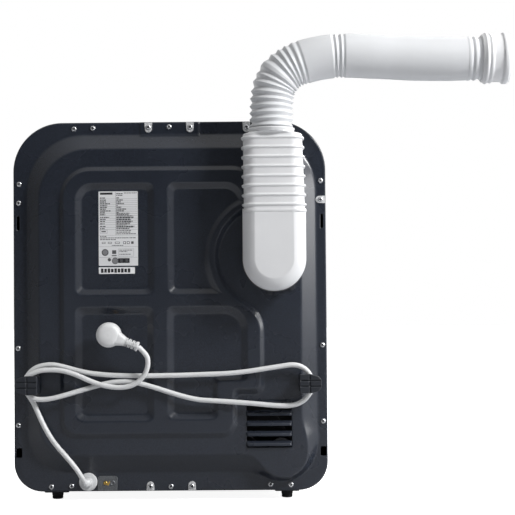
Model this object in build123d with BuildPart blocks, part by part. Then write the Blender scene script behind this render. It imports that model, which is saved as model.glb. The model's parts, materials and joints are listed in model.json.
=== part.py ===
from build123d import *
import os
from math import tan, radians, sin, cos, degrees, sqrt

os.makedirs("parts", exist_ok=True)

# ---------------------------------------------------------------- frame
# +Z up, the door faces -Y, the ducted back faces +Y, millimetres.
# Origin on the floor under the middle of the cabinet.

# ---------------------------------------------------------------- driving dimensions
W = 495.0             # cabinet width
Z_BOT = 15.0          # underside of the cabinet
Z_TOP = 598.0         # top of the cabinet
R_TOP = 78.0          # upper corner radius of the cabinet
R_LOW = 45.0          # lower corner radius of the cabinet
Y_BACK = 165.0        # rear flange plane
Y_FRONT = -163.0      # front edge of the wrap
T_WRAP = 1.5          # wrap sheet
T_REAR = 1.2          # rear panel sheet
FIELD_H = 20.0        # first embossing step of the rear panel
PLAT_H = 6.0          # second embossing step
Y_FIELD = Y_BACK + FIELD_H
Y_PLAT = Y_FIELD + PLAT_H

Z_DRUM = 318.0        # drum axis height
R_DRUM = 212.0
T_DRUM = 1.5
DRUM_Y0, DRUM_Y1 = -128.0, 116.0

VENT_U, VENT_Z = 165.5, 378.0     # vent axis, seen from behind
CONE_U, CONE_Z = 157.5, 382.5     # centre of the round clearing stamped beside the vent
Z_JOINT = 451.0                   # elbow's top, where the sleeve starts
R_VENT = 48.5

MOTOR_U, MOTOR_Z = 175.0, 78.0    # motor axis, seen from behind
R_SHAFT = 5.0
R_DRUM_PULLEY = 6.0
R_FAN_PULLEY_SMALL = 20.0
R_FAN_PULLEY = 45.0
R_FAN = 138.0

CORD_R = 3.9
HOSE_R, HOSE_RI = 34.0, 31.5
HOSE_Y = 228.0

HINGE_X, HINGE_Y = -190.0, -204.0
DOOR_R = 172.0


def RY(y):
    """Plane seen from behind: local x to the right, local y up, normal +Y."""
    return Plane(origin=(0, y, 0), x_dir=(-1, 0, 0), z_dir=(0, 1, 0))


def FY(y):
    """Plane seen from the front: local x to the right, local y up, normal -Y."""
    return Plane(origin=(0, y, 0), x_dir=(1, 0, 0), z_dir=(0, -1, 0))


def loop(pts, radii):
    """Edges of a closed outline with its own radius at every corner."""
    with BuildLine() as l:
        FilletPolyline(*pts, radius=radii, close=True)
    return l.edges()


def body_outline(inset=0.0):
    a = W / 2 - inset
    zb, zt = Z_BOT + inset, Z_TOP - inset
    rt, rl = R_TOP - inset, R_LOW - inset
    return loop([(-a, zb), (a, zb), (a, zt), (-a, zt)], [rl, rl, rt, rt])


def save(builder, name):
    builder.part.label = name
    export_step(builder.part, "parts/" + name + ".step")


def route_radii(pts):
    """Radius at each corner of a route: 0.45 of the shorter run over the
    tangent of half the turn."""
    out = []
    runs = [(Vector(*b) - Vector(*a)).length for a, b in zip(pts, pts[1:])]
    print("runs", round(min(runs), 1), "to", round(max(runs), 1), "largest step between neighbours",
          round(max(max(a / b, b / a) for a, b in zip(runs, runs[1:])), 2))
    for a, b, c in zip(pts, pts[1:], pts[2:]):
        v1, v2 = Vector(*b) - Vector(*a), Vector(*c) - Vector(*b)
        half = radians(v1.get_angle(v2) / 2)
        out.append(min(0.45 * min(v1.length, v2.length) / tan(half), 900.0))
    return out


# screws round the rear flange, seen from behind (u, z)
SCREWS = [(-150.6, 588), (-120.7, 589), (-32.5, 589.5), (0.5, 590), (33.5, 589.5), (123, 589), (150, 588),
          (-238, 501), (-239, 471), (-240.5, 241), (-240.5, 119.5),
          (239.5, 503), (239.5, 473), (240.5, 243), (240.5, 123),
          (-189, 22.5), (-157, 23.5), (-32.6, 22.0), (0, 22.0), (33, 22.0), (157, 24.5), (189, 23.5)]
TABS = [(-32.5, 589.5), (33.5, 589.5), (123, 589), (239.5, 473), (-32.6, 22.0), (33, 22.0)]

# ---------------------------------------------------------------- 1 cabinet wrap
with BuildPart() as cabinet_wrap:
    with BuildSketch(RY(Y_FRONT)):
        make_face(body_outline())
    extrude(amount=Y_BACK - T_REAR - Y_FRONT)
    with BuildSketch(RY(Y_FRONT - 1)):
        make_face(body_outline(T_WRAP))
    extrude(amount=Y_BACK - T_REAR - Y_FRONT + 2, mode=Mode.SUBTRACT)
    # turned-in rear flange that takes the rear panel's screws
    with BuildSketch(RY(Y_BACK - T_REAR - 1.5)):
        make_face(body_outline(0.5))
    extrude(amount=1.5)
    with BuildSketch(RY(Y_BACK - T_REAR - 3)):
        make_face(body_outline(14.0))
    extrude(amount=4, mode=Mode.SUBTRACT)
    # turned-in front flange
    with BuildSketch(RY(Y_FRONT)):
        make_face(body_outline(0.5))
    extrude(amount=1.5)
    with BuildSketch(RY(Y_FRONT - 1)):
        make_face(body_outline(10.0))
    extrude(amount=3, mode=Mode.SUBTRACT)
    # screw, gland and earth screw holes in the rear flange
    with BuildSketch(RY(Y_BACK - 5)):
        with Locations(*SCREWS):
            Circle(2.2)
        with Locations((-130.8, 30.0)):
            Circle(9.3)
        with Locations((-103.5, 28.0)):
            Circle(2.1)
        with Locations((-240, 439), (241, 439)):
            SlotOverall(24, 5.5, rotation=90)
        with Locations((-240, 76), (241, 76)):
            Rectangle(11, 16)
    extrude(amount=6, mode=Mode.SUBTRACT)
save(cabinet_wrap, "cabinet_wrap")

# ---------------------------------------------------------------- 2 base pan
with BuildPart() as base_pan:
    with BuildSketch(Plane.XY.offset(Z_BOT + T_WRAP)):
        with Locations((0, -1)):
            Rectangle(390, 300)
    extrude(amount=1.5)
    with BuildSketch(Plane.XY.offset(Z_BOT + T_WRAP + 1.5)):
        with Locations((0, -150.2), (0, 148.2)):
            Rectangle(390, 1.6)
        with Locations((-194.2, -1), (194.2, -1)):
            Rectangle(1.6, 300)
    extrude(amount=12)
save(base_pan, "base_pan")

# ---------------------------------------------------------------- 3 rear panel
FIELD_OUT = ([(-226, 45), (232, 45), (232, 578), (-226, 578)], [66, 62, 90, 90])
FIELD_IN = ([(-204, 74), (207, 74), (207, 554), (-204, 554)], [48, 37, 78, 78])
PLAT_OUT = ([(-171, 100), (105.5, 100), (105.5, 168), (148.6, 168), (148.6, 526), (-171, 526)],
            [27, 25, 6, 14, 50, 48])
PLAT_IN = ([(-164.5, 108), (98.6, 108), (98.6, 177), (142, 177), (142, 519), (-164.5, 519)],
           [21, 19, 8, 8, 44, 42])


def step_loft_planes(outer, inner, y0, y1):
    return (RY(y0), loop(*outer)), (RY(y1), loop(*inner))


with BuildPart() as stamp_platform:
    with BuildSketch(RY(Y_FIELD)):
        make_face(loop(*PLAT_OUT))
    with BuildSketch(RY(Y_PLAT)):
        make_face(loop(*PLAT_IN))
    loft(ruled=True)
with BuildPart() as cone_vent:
    with BuildSketch(RY(Y_FIELD)):
        with Locations((CONE_U, CONE_Z)):
            Circle(79)
    with BuildSketch(RY(Y_PLAT + 0.6)):
        with Locations((CONE_U, CONE_Z)):
            Circle(85.6)
    loft(ruled=True)
with BuildPart() as window_1:
    with BuildSketch(RY(Y_FIELD)):
        make_face(loop([(-136, 334), (-33, 334), (-33, 490.7), (-136, 490.7)], [7, 7, 7, 19]))
    with BuildSketch(RY(Y_PLAT)):
        make_face(loop([(-146.4, 324.5), (-22.2, 324.5), (-22.2, 499.6), (-146.4, 499.6)], [10, 10, 10, 27]))
    loft(ruled=True)
with BuildPart() as window_2:
    with BuildSketch(RY(Y_FIELD)):
        make_face(loop([(8.2, 334), (110, 334), (110, 490.7), (8.2, 490.7)], [7, 7, 22, 7]))
    with BuildSketch(RY(Y_PLAT)):
        make_face(loop([(-1.4, 324.5), (119, 324.5), (119, 499.6), (-1.4, 499.6)], [10, 10, 30, 10]))
    loft(ruled=True)
    # the window stops at a wall concentric with the vent
    with BuildSketch(RY(Y_FIELD)):
        with Locations((CONE_U, CONE_Z)):
            Circle(101.5)
    with BuildSketch(RY(Y_PLAT)):
        with Locations((CONE_U, CONE_Z)):
            Circle(94)
    loft(ruled=True, mode=Mode.SUBTRACT)
with BuildPart() as window_3:
    with BuildSketch(RY(Y_FIELD)):
        make_face(loop([(-136.4, 136.6), (-34.5, 136.6), (-34.5, 294.6), (-136.4, 294.6)], [9, 7, 7, 7]))
    with BuildSketch(RY(Y_PLAT)):
        make_face(loop([(-146.8, 127.4), (-24.1, 127.4), (-24.1, 305.5), (-146.8, 305.5)], [13, 10, 10, 10]))
    loft(ruled=True)
with BuildPart() as window_4:
    with BuildSketch(RY(Y_FIELD)):
        make_face(loop([(7.2, 138.3), (68.7, 138.3), (68.7, 195.8), (112.5, 195.8), (112.5, 294.6), (7.2, 294.6)],
                       [7, 7, 7, 7, 27, 7]))
    with BuildSketch(RY(Y_PLAT)):
        make_face(loop([(-3.2, 129.5), (75.8, 129.5), (75.8, 189.6), (122.8, 189.6), (122.8, 305.5), (-3.2, 305.5)],
                       [10, 10, 6, 10, 35, 10]))
    loft(ruled=True)

with BuildPart() as stamp:
    with BuildSketch(RY(Y_BACK - 30)):
        make_face(body_outline())
    extrude(amount=30)
    with BuildSketch(RY(Y_BACK)):
        make_face(loop(*FIELD_OUT))
    with BuildSketch(RY(Y_FIELD)):
        make_face(loop(*FIELD_IN))
    loft(ruled=True)
    # round lobe over the fan belt pulley
    with BuildSketch(RY(Y_BACK)):
        with Locations((177, 76)):
            Circle(46)
    with BuildSketch(RY(Y_FIELD)):
        with Locations((177, 76)):
            Circle(41)
    loft(ruled=True)
    add(stamp_platform.part.cut(cone_vent.part))
    add(window_1.part, mode=Mode.SUBTRACT)
    add(window_2.part, mode=Mode.SUBTRACT)
    add(window_3.part, mode=Mode.SUBTRACT)
    add(window_4.part, mode=Mode.SUBTRACT)

LOUVRE_Z = (158, 141.5, 125, 108, 91.5)
with BuildPart() as rear_panel:
    add(stamp.part)
    add(stamp.part.moved(Location((0, -T_REAR, 0))), mode=Mode.SUBTRACT)
    # louvre hoods, pressed outward and open downward
    with BuildSketch(Plane(origin=(-119, 0, 0), x_dir=(0, 1, 0), z_dir=(-1, 0, 0))):
        for lz in LOUVRE_Z:
            with BuildLine():
                Polyline((Y_FIELD - 0.6, -(lz + 6.5)), (Y_FIELD + 4.6, -(lz - 1.2)), (Y_FIELD + 4.6, -(lz - 3.0)),
                         (Y_FIELD + 3.4, -(lz - 3.0)), (Y_FIELD - 0.6, -(lz + 4.4)), close=True)
            make_face()
    extrude(amount=71)
    with BuildSketch(RY(Y_FIELD - 5)):
        with Locations(*[(154.5, lz - 1.0) for lz in LOUVRE_Z]):
            Rectangle(69, 7)
    extrude(amount=4.9, mode=Mode.SUBTRACT)
    # vent outlet, cord gland, earth screw, screws, slots and hook holes
    with BuildSketch(RY(Y_BACK - 5)):
        with Locations((VENT_U, VENT_Z)):
            Circle(44.2)
    extrude(amount=40, mode=Mode.SUBTRACT)
    with BuildSketch(RY(Y_BACK - 5)):
        with Locations((-130.8, 30.0)):
            Circle(9.1)
        with Locations((-103.5, 28.0)):
            Circle(1.9)
        with Locations(*SCREWS):
            Circle(2.2)
        with Locations((-240, 439), (241, 439)):
            SlotOverall(23, 4.5, rotation=90)
        with Locations((-240, 76), (241, 76)):
            Rectangle(10, 15)
    extrude(amount=10, mode=Mode.SUBTRACT)
    with BuildSketch(RY(Y_FIELD - 12)):
        with Locations((-207, 185.3), (207, 185.3)):
            Circle(3.3)
    extrude(amount=15, mode=Mode.SUBTRACT)
save(rear_panel, "rear_panel")
print("rear panel volume", rear_panel.part.volume, "solids", len(rear_panel.part.solids()))

# ---------------------------------------------------------------- 4 front panel
with BuildPart() as front_panel:
    with BuildSketch(FY(Y_FRONT)):
        make_face(body_outline())
    extrude(amount=27)
    fillet(front_panel.faces().sort_by(Axis.Y)[0].edges(), radius=9)
    with BuildSketch(FY(Y_FRONT + 1)):
        make_face(body_outline(3.0))
    extrude(amount=25.5, mode=Mode.SUBTRACT)
    with BuildSketch(FY(Y_FRONT)):
        with Locations((0, Z_DRUM)):
            Circle(155)
    extrude(amount=30, mode=Mode.SUBTRACT)
    # door mouth collar turned inward
    with BuildSketch(FY(-190)):
        with Locations((0, Z_DRUM)):
            Circle(156.5)
            Circle(153, mode=Mode.SUBTRACT)
    extrude(amount=-24)
    with BuildSketch(FY(Y_FRONT)):
        with Locations((150, 543)):
            Circle(6)
        with Locations((82, 543)):
            Circle(6)
        with Locations((20, 543)):
            Circle(4)
        with Locations((163, Z_DRUM)):
            Rectangle(10, 26)
    extrude(amount=30, mode=Mode.SUBTRACT)
save(front_panel, "front_panel")

# ---------------------------------------------------------------- 5 front bulkhead
with BuildPart() as front_bulkhead:
    with BuildSketch(FY(-148.5)):
        make_face(loop([(-244, 31), (244, 31), (244, 582), (-244, 582)], [40, 40, 70, 70]))
        with Locations((0, Z_DRUM)):
            Circle(157.5, mode=Mode.SUBTRACT)
    extrude(amount=1.5)
    with BuildSketch(FY(-150)):
        with Locations((0, Z_DRUM)):
            Circle(159)
            Circle(157.5, mode=Mode.SUBTRACT)
    extrude(amount=-34)
save(front_bulkhead, "front_bulkhead")

# felt ring the drum's front lip slides on
with BuildPart() as drum_felt:
    with BuildSketch(FY(-118)):
        with Locations((0, Z_DRUM)):
            Circle(162.2)
            Circle(159, mode=Mode.SUBTRACT)
    extrude(amount=14)
save(drum_felt, "drum_felt")

# rubber seal in the door mouth
with BuildPart() as door_seal:
    with BuildSketch(FY(-166)):
        with Locations((0, Z_DRUM)):
            Circle(153)
            Circle(149.5, mode=Mode.SUBTRACT)
    extrude(amount=20)
    with BuildSketch(FY(-166)):
        with Locations((0, Z_DRUM)):
            Circle(157.4)
            Circle(151, mode=Mode.SUBTRACT)
    extrude(amount=-17)
save(door_seal, "door_seal")

# ---------------------------------------------------------------- rear bulkhead
with BuildPart() as rear_bulkhead:
    with BuildSketch(RY(126)):
        make_face(loop([(-244, 31), (244, 31), (244, 582), (-244, 582)], [40, 40, 70, 70]))
        with Locations((0, Z_DRUM)):
            Circle(13.0, mode=Mode.SUBTRACT)
        with Locations((MOTOR_U, MOTOR_Z)):
            Circle(12, mode=Mode.SUBTRACT)
        with Locations((0, Z_DRUM)):
            with PolarLocations(75, 10):
                SlotOverall(50, 9, mode=Mode.SUBTRACT)
    extrude(amount=1.5)
save(rear_bulkhead, "rear_bulkhead")

# ---------------------------------------------------------------- fan housing
with BuildPart() as fan_housing:
    with BuildSketch(RY(127.5)):
        with Locations((0, Z_DRUM)):
            Circle(150)
        with Locations((VENT_U, VENT_Z)):
            Circle(52)
        make_hull()
    extrude(amount=33)
    with BuildSketch(RY(127)):
        with Locations((0, Z_DRUM)):
            Circle(148)
        with Locations((VENT_U, VENT_Z)):
            Circle(50)
        make_hull()
    extrude(amount=31.5, mode=Mode.SUBTRACT)
    with BuildSketch(RY(150)):
        with Locations((0, Z_DRUM)):
            Circle(10)
        with Locations((VENT_U, VENT_Z)):
            Circle(44.0)
    extrude(amount=20, mode=Mode.SUBTRACT)
save(fan_housing, "fan_housing")

# plain bearings of the drum and of the fan, one behind the other
with BuildPart() as shaft_bearings:
    with BuildSketch(RY(120)):
        with Locations((0, Z_DRUM)):
            Circle(13.0)
            Circle(8.05, mode=Mode.SUBTRACT)
    extrude(amount=11)
    with BuildSketch(RY(156)):
        with Locations((0, Z_DRUM)):
            Circle(10)
            Circle(6.05, mode=Mode.SUBTRACT)
    extrude(amount=8)
save(shaft_bearings, "shaft_bearings")

# ---------------------------------------------------------------- outlet collar
with BuildPart() as outlet_collar:
    with BuildSketch(RY(159)):
        with Locations((VENT_U, VENT_Z)):
            Circle(44.0)
            Circle(41.5, mode=Mode.SUBTRACT)
    extrude(amount=49)
    with BuildSketch(RY(Y_FIELD)):
        with Locations((VENT_U, VENT_Z)):
            Circle(50.6)
            Circle(42, mode=Mode.SUBTRACT)
    extrude(amount=5)
    # two clips that hold the collar in the panel
    with BuildSketch(RY(Y_FIELD)):
        for a in (-98, -58):
            with Locations((VENT_U + 52.5 * cos(radians(a)), VENT_Z + 52.5 * sin(radians(a)))):
                Rectangle(7, 8, rotation=a)
    extrude(amount=3.5)
save(outlet_collar, "outlet_collar")

# ---------------------------------------------------------------- vent elbow
EY0, EY1 = 191.8, 255.0
with BuildPart() as vent_elbow:
    with BuildSketch(RY(EY0)):
        with Locations((VENT_U, VENT_Z)):
            Circle(R_VENT)
        with Locations((VENT_U, (VENT_Z + Z_JOINT) / 2)):
            Rectangle(2 * R_VENT, Z_JOINT - VENT_Z)
    extrude(amount=EY1 - EY0)
    fillet(vent_elbow.faces().sort_by(Axis.Y)[-1].edges().filter_by(lambda e: e.center().Z < Z_JOINT - 1), radius=15)
    with BuildSketch(RY(EY0 + 2.3)):
        with Locations((VENT_U, VENT_Z)):
            Circle(R_VENT - 2.5)
        with Locations((VENT_U, (VENT_Z + Z_JOINT + 3) / 2)):
            Rectangle(2 * (R_VENT - 2.5), Z_JOINT + 3 - VENT_Z)
    with BuildSketch(RY(EY1 - 12)):
        with Locations((VENT_U, VENT_Z)):
            Circle(R_VENT - 2.5)
        with Locations((VENT_U, (VENT_Z + Z_JOINT + 3) / 2)):
            Rectangle(2 * (R_VENT - 2.5), Z_JOINT + 3 - VENT_Z)
    loft(ruled=True, mode=Mode.SUBTRACT)
    with BuildSketch(RY(EY1 - 12.5)):
        with Locations((VENT_U, VENT_Z)):
            Circle(R_VENT - 2.5)
        with Locations((VENT_U, (VENT_Z + Z_JOINT + 3) / 2)):
            Rectangle(2 * (R_VENT - 2.5), Z_JOINT + 3 - VENT_Z)
    with BuildSketch(RY(EY1 - 2.5)):
        with Locations((VENT_U, VENT_Z)):
            Circle(R_VENT - 12.5)
        with Locations((VENT_U, (VENT_Z + Z_JOINT + 3) / 2)):
            Rectangle(2 * (R_VENT - 12.5), Z_JOINT + 3 - VENT_Z)
    loft(ruled=True, mode=Mode.SUBTRACT)
    with BuildSketch(RY(EY0 - 1)):
        with Locations((VENT_U, VENT_Z)):
            Circle(44.08)
    extrude(amount=8, mode=Mode.SUBTRACT)
save(vent_elbow, "vent_elbow")
print("elbow volume", vent_elbow.part.volume)

# ---------------------------------------------------------------- vent sleeve
SL_Y = (EY0 + EY1) / 2
HOSE_U = 162.2
with BuildPart() as vent_sleeve:
    with BuildSketch(Plane.XY.offset(Z_JOINT)):
        with Locations((-VENT_U, SL_Y + 0.3)):
            RectangleRounded(94, 62.0, 20)
    extrude(amount=114.5)
    with BuildSketch(Plane.XY.offset(Z_JOINT + 1)):
        with Locations((-VENT_U, SL_Y + 0.3)):
            RectangleRounded(97, 62.8, 21)
    extrude(amount=3)
    for k in range(8):
        with BuildSketch(Plane.XY.offset(459.3 + 14.63 * k)):
            with Locations((-VENT_U + 0.2 * k, SL_Y + 0.6)):
                RectangleRounded(98.6, 62.2, 21)
        extrude(amount=3.5)
    with BuildSketch(Plane.XY.offset(Z_JOINT + 114.5)):
        with Locations((-VENT_U, SL_Y + 0.3)):
            RectangleRounded(94, 62.0, 20)
    with BuildSketch(Plane.XY.offset(570)):
        with Locations((-HOSE_U, HOSE_Y)):
            RectangleRounded(2 * HOSE_R, 2 * HOSE_R - 0.5, 33.6)
    loft(ruled=True)
    with BuildSketch(Plane.XY.offset(570)):
        with Locations((-HOSE_U, HOSE_Y)):
            Circle(HOSE_R)
    extrude(amount=2)
    # air way
    with BuildSketch(Plane.XY.offset(Z_JOINT - 1)):
        with Locations((-VENT_U, SL_Y + 0.3)):
            RectangleRounded(89, 57, 18)
    extrude(amount=115.5, mode=Mode.SUBTRACT)
    with BuildSketch(Plane.XY.offset(Z_JOINT + 114.5)):
        with Locations((-VENT_U, SL_Y + 0.3)):
            RectangleRounded(89, 57, 18)
    with BuildSketch(Plane.XY.offset(570)):
        with Locations((-HOSE_U, HOSE_Y)):
            RectangleRounded(2 * HOSE_RI - 0.2, 2 * HOSE_RI - 0.5, 31.0)
    loft(ruled=True, mode=Mode.SUBTRACT)
    with BuildSketch(Plane.XY.offset(569)):
        with Locations((-HOSE_U, HOSE_Y)):
            Circle(HOSE_RI - 1.0)
    extrude(amount=10, mode=Mode.SUBTRACT)
save(vent_sleeve, "vent_sleeve")
print("sleeve volume", vent_sleeve.part.volume, len(vent_sleeve.part.solids()))

# ---------------------------------------------------------------- exhaust hose, end to end
HOSE = [(-162.2, 228.0, 572.0), (-162.2, 228.0, 598.8), (-163.0, 228.0, 622.8), (-166.9, 228.0, 644.8),
        (-178.9, 228.0, 663.6), (-197.4, 228.0, 676.3), (-220.7, 228.0, 683.8), (-248.3, 228.0, 689.0),
        (-277.7, 228.0, 690.9), (-324.0, 228.0, 687.9), (-373.5, 228.0, 684.8), (-424.2, 228.0, 683.8),
        (-470.0, 228.0, 684.0), (-517.0, 228.0, 684.0)]
HOSE_ROUTE_R = route_radii(HOSE)
print("hose radii", [round(r) for r in HOSE_ROUTE_R])
with BuildPart() as exhaust_hose:
    with BuildLine() as hose_path:
        FilletPolyline(*HOSE, radius=HOSE_ROUTE_R)
    with BuildSketch(Plane(origin=HOSE[0], z_dir=hose_path.line % 0)):
        Circle(HOSE_R)
        Circle(HOSE_RI, mode=Mode.SUBTRACT)
    sweep(path=hose_path.line)
save(exhaust_hose, "exhaust_hose")
print("hose length", hose_path.wires()[0].length, "volume", exhaust_hose.part.volume,
      "expected", 3.14159265 * (HOSE_R**2 - HOSE_RI**2) * hose_path.wires()[0].length)

# cuff on the free end
with BuildPart() as hose_cuff:
    with BuildSketch(Plane(origin=(-485, HOSE_Y, 684), x_dir=(0, 1, 0), z_dir=(-1, 0, 0))):
        Circle(36.5)
        Circle(HOSE_R + 0.15, mode=Mode.SUBTRACT)
    extrude(amount=32)
    with BuildSketch(Plane(origin=(-517, HOSE_Y, 684), x_dir=(0, 1, 0), z_dir=(-1, 0, 0))):
        Circle(36.5)
        Circle(33.5, mode=Mode.SUBTRACT)
    extrude(amount=11)
    for off in (4, 33):
        with BuildSketch(Plane(origin=(-485 - off, HOSE_Y, 684), x_dir=(0, 1, 0), z_dir=(-1, 0, 0))):
            Circle(39.3)
            Circle(36, mode=Mode.SUBTRACT)
        extrude(amount=6)
save(hose_cuff, "hose_cuff")

# ---------------------------------------------------------------- cord hooks
with BuildPart() as cord_hooks:
    # shanks standing on the raised field
    with BuildSketch(RY(Y_FIELD)):
        with Locations((-207, 185.3), (207, 185.3)):
            Rectangle(8, 26)
    extrude(amount=28)
    # fixing stubs through the panel
    with BuildSketch(RY(Y_FIELD - 6)):
        with Locations((-207, 185.3), (207, 185.3)):
            Circle(3.0)
    extrude(amount=6.5)
    # front plates with the outward lips
    for s in (-1, 1):
        with BuildSketch(RY(Y_FIELD + 28)):
            with BuildLine():
                Polyline((s * 203, 170.8), (s * 221, 170.8), (s * 233, 174.8), (s * 236.5, 179.3),
                         (s * 236.5, 192.3), (s * 233, 196.8), (s * 221, 200.1), (s * 203, 200.1), close=True)
            make_face()
        extrude(amount=4)
        # gripping grooves in the plate
        with BuildSketch(RY(Y_FIELD + 31)):
            with Locations((s * 213, 177.2), (s * 213, 185.6), (s * 213, 194.3)):
                Rectangle(16, 1.2)
            with Locations((s * 228.5, 181.5), (s * 228.5, 190)):
                Rectangle(11, 1.2)
            with Locations((s * 222, 185.3)):
                Rectangle(1.2, 27)
        extrude(amount=2, mode=Mode.SUBTRACT)
save(cord_hooks, "cord_hooks")

# ---------------------------------------------------------------- rear screws and tabs
with BuildPart() as mounting_tabs:
    with BuildSketch(RY(Y_BACK)):
        with Locations(*TABS):
            Circle(7.4)
            Circle(2.3, mode=Mode.SUBTRACT)
    extrude(amount=0.9)
save(mounting_tabs, "mounting_tabs")

PLAIN = [p for p in SCREWS if p not in TABS]
with BuildPart() as rear_screws:
    for pts, lift in ((PLAIN, 0.0), (TABS, 0.9)):
        with BuildSketch(RY(Y_BACK + lift)):
            with Locations(*pts):
                Circle(4.2)
        extrude(amount=2.6, taper=18)
        with BuildSketch(RY(Y_BACK + lift - 9)):
            with Locations(*pts):
                Circle(1.95)
        extrude(amount=9.2)
        with BuildSketch(RY(Y_BACK + lift + 1.4)):
            with Locations(*pts):
                RegularPolygon(1.5, 6)
        extrude(amount=2, mode=Mode.SUBTRACT)
save(rear_screws, "rear_screws")
print("screws", len(rear_screws.part.solids()), len(SCREWS))

# ---------------------------------------------------------------- feet
FEET = [(-183, -138), (183, -138), (-183, 138), (183, 138)]
with BuildPart() as feet:
    with BuildSketch(Plane.XY.offset(11.5)):
        with Locations(*FEET):
            Circle(9.2)
    extrude(amount=-11.5, taper=6)
save(feet, "feet")
with BuildPart() as foot_plates:
    with BuildSketch(Plane.XY.offset(11.5)):
        with Locations(*FEET):
            RectangleRounded(39, 30, 4)
    extrude(amount=3.5)
save(foot_plates, "foot_plates")

# ---------------------------------------------------------------- labels
with BuildPart() as rating_labels:
    with BuildSketch(RY(Y_FIELD)):
        with Locations((-80.8, 429.5)):
            RectangleRounded(61.7, 117, 2)
        with Locations((-83.5, 363.5)):
            RectangleRounded(57, 10, 1)
    extrude(amount=0.3)
save(rating_labels, "rating_labels")

# ---------------------------------------------------------------- cord gland and earth plate
GLAND = (130.8, 176.0, 30.0)
with BuildPart() as cord_gland:
    with BuildSketch(RY(Y_BACK - 9)):
        with Locations((-130.8, 30.0)):
            Circle(9.0)
    extrude(amount=9)
    with BuildSketch(RY(Y_BACK)):
        with Locations((-130.8, 30.0)):
            Circle(14.4)
    extrude(amount=4)
    fillet(cord_gland.faces().sort_by(Axis.Y)[-1].edges(), radius=1.6)
    with BuildSketch(RY(Y_BACK + 4)):
        with Locations((-130.8, 30.0)):
            Circle(7.2)
    extrude(amount=7, taper=10)
save(cord_gland, "cord_gland")

with BuildPart() as earth_plate:
    with BuildSketch(RY(Y_BACK)):
        make_face(loop([(-115.8, 16.4), (-84.7, 16.4), (-84.7, 39.2), (-112.5, 39.2), (-115.8, 36.5)], [1, 1, 5, 2, 1]))
        with Locations((-103.5, 28.0)):
            Circle(2.0, mode=Mode.SUBTRACT)
    extrude(amount=1.2)
    with BuildSketch(RY(Y_BACK + 1.2)):
        with Locations((-92.4, 28.0)):
            Circle(3.6)
            Circle(2.6, mode=Mode.SUBTRACT)
    extrude(amount=0.4)
save(earth_plate, "earth_plate")
with BuildPart() as earth_screw:
    with BuildSketch(RY(Y_BACK + 1.2)):
        with Locations((-103.5, 28.0)):
            Circle(3.4)
    extrude(amount=2.2, taper=16)
    with BuildSketch(RY(Y_BACK - 8)):
        with Locations((-103.5, 28.0)):
            Circle(1.8)
    extrude(amount=9.4)
save(earth_screw, "earth_screw")

# ---------------------------------------------------------------- mains lead
CORD = [(130.8, 176.0, 30.0), (130.8, 196.0, 30.4), (134.8, 210.8, 43.6), (143.5, 217.0, 59.0),
        (157.7, 215.3, 75.5), (172.9, 211.1, 91.1), (185.5, 205.8, 107.2), (196.9, 201.9, 127.0),
        (205.1, 198.7, 144.6), (212.2, 197.9, 160.0), (221.9, 198.0, 173.8), (226.1, 198.0, 188.1),
        (220.8, 198.0, 200.3), (210.4, 198.0, 211.2), (195.7, 198.0, 216.3), (178.3, 197.8, 217.2),
        (154.0, 197.4, 210.6), (124.4, 197.0, 202.5), (77.9, 196.8, 198.7), (13.0, 196.8, 198.2),
        (-50.0, 196.8, 199.6), (-105.4, 197.0, 201.6), (-146.3, 197.4, 207.6), (-175.7, 197.9, 212.1),
        (-195.3, 197.8, 214.7), (-210.0, 197.8, 209.7), (-219.9, 197.8, 198.9), (-223.4, 197.8, 183.7),
        (-219.0, 197.8, 168.4), (-208.6, 197.8, 156.8), (-192.3, 197.8, 150.2), (-165.9, 197.6, 150.4),
        (-128.9, 197.4, 154.6), (-73.1, 197.4, 158.6), (-40.8, 197.2, 160.7), (-4.1, 197.2, 171.2),
        (29.2, 197.2, 182.4), (60.1, 197.3, 190.0), (90.3, 198.0, 189.1), (120.2, 200.3, 181.4),
        (145.7, 203.7, 174.2), (171.1, 206.6, 166.9), (194.8, 207.8, 162.7), (212.0, 207.6, 165.3),
        (222.8, 207.6, 176.2), (224.9, 207.6, 190.2), (218.4, 207.6, 199.3), (205.3, 207.6, 207.2),
        (188.0, 207.6, 209.5), (166.9, 207.4, 208.8), (143.6, 207.4, 202.0), (118.6, 207.4, 189.9),
        (94.3, 207.4, 182.5), (73.2, 207.5, 180.8), (56.2, 208.3, 183.7), (42.4, 210.1, 193.4),
        (33.7, 212.7, 205.5), (30.4, 215.8, 220.0), (32.9, 217.2, 233.2), (45.5, 217.0, 244.1)]
CORD_ROUTE_R = route_radii(CORD)
print("cord radii", [round(r) for r in CORD_ROUTE_R])
with BuildPart() as power_cord:
    with BuildLine() as cord_path:
        FilletPolyline(*CORD, radius=CORD_ROUTE_R)
    with BuildSketch(Plane(origin=CORD[0], z_dir=cord_path.line % 0)):
        Circle(CORD_R)
    sweep(path=cord_path.line)
save(power_cord, "power_cord")
print("cord length", cord_path.wires()[0].length, "volume", power_cord.part.volume,
      "expected", 3.14159265 * CORD_R**2 * cord_path.wires()[0].length)

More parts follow.
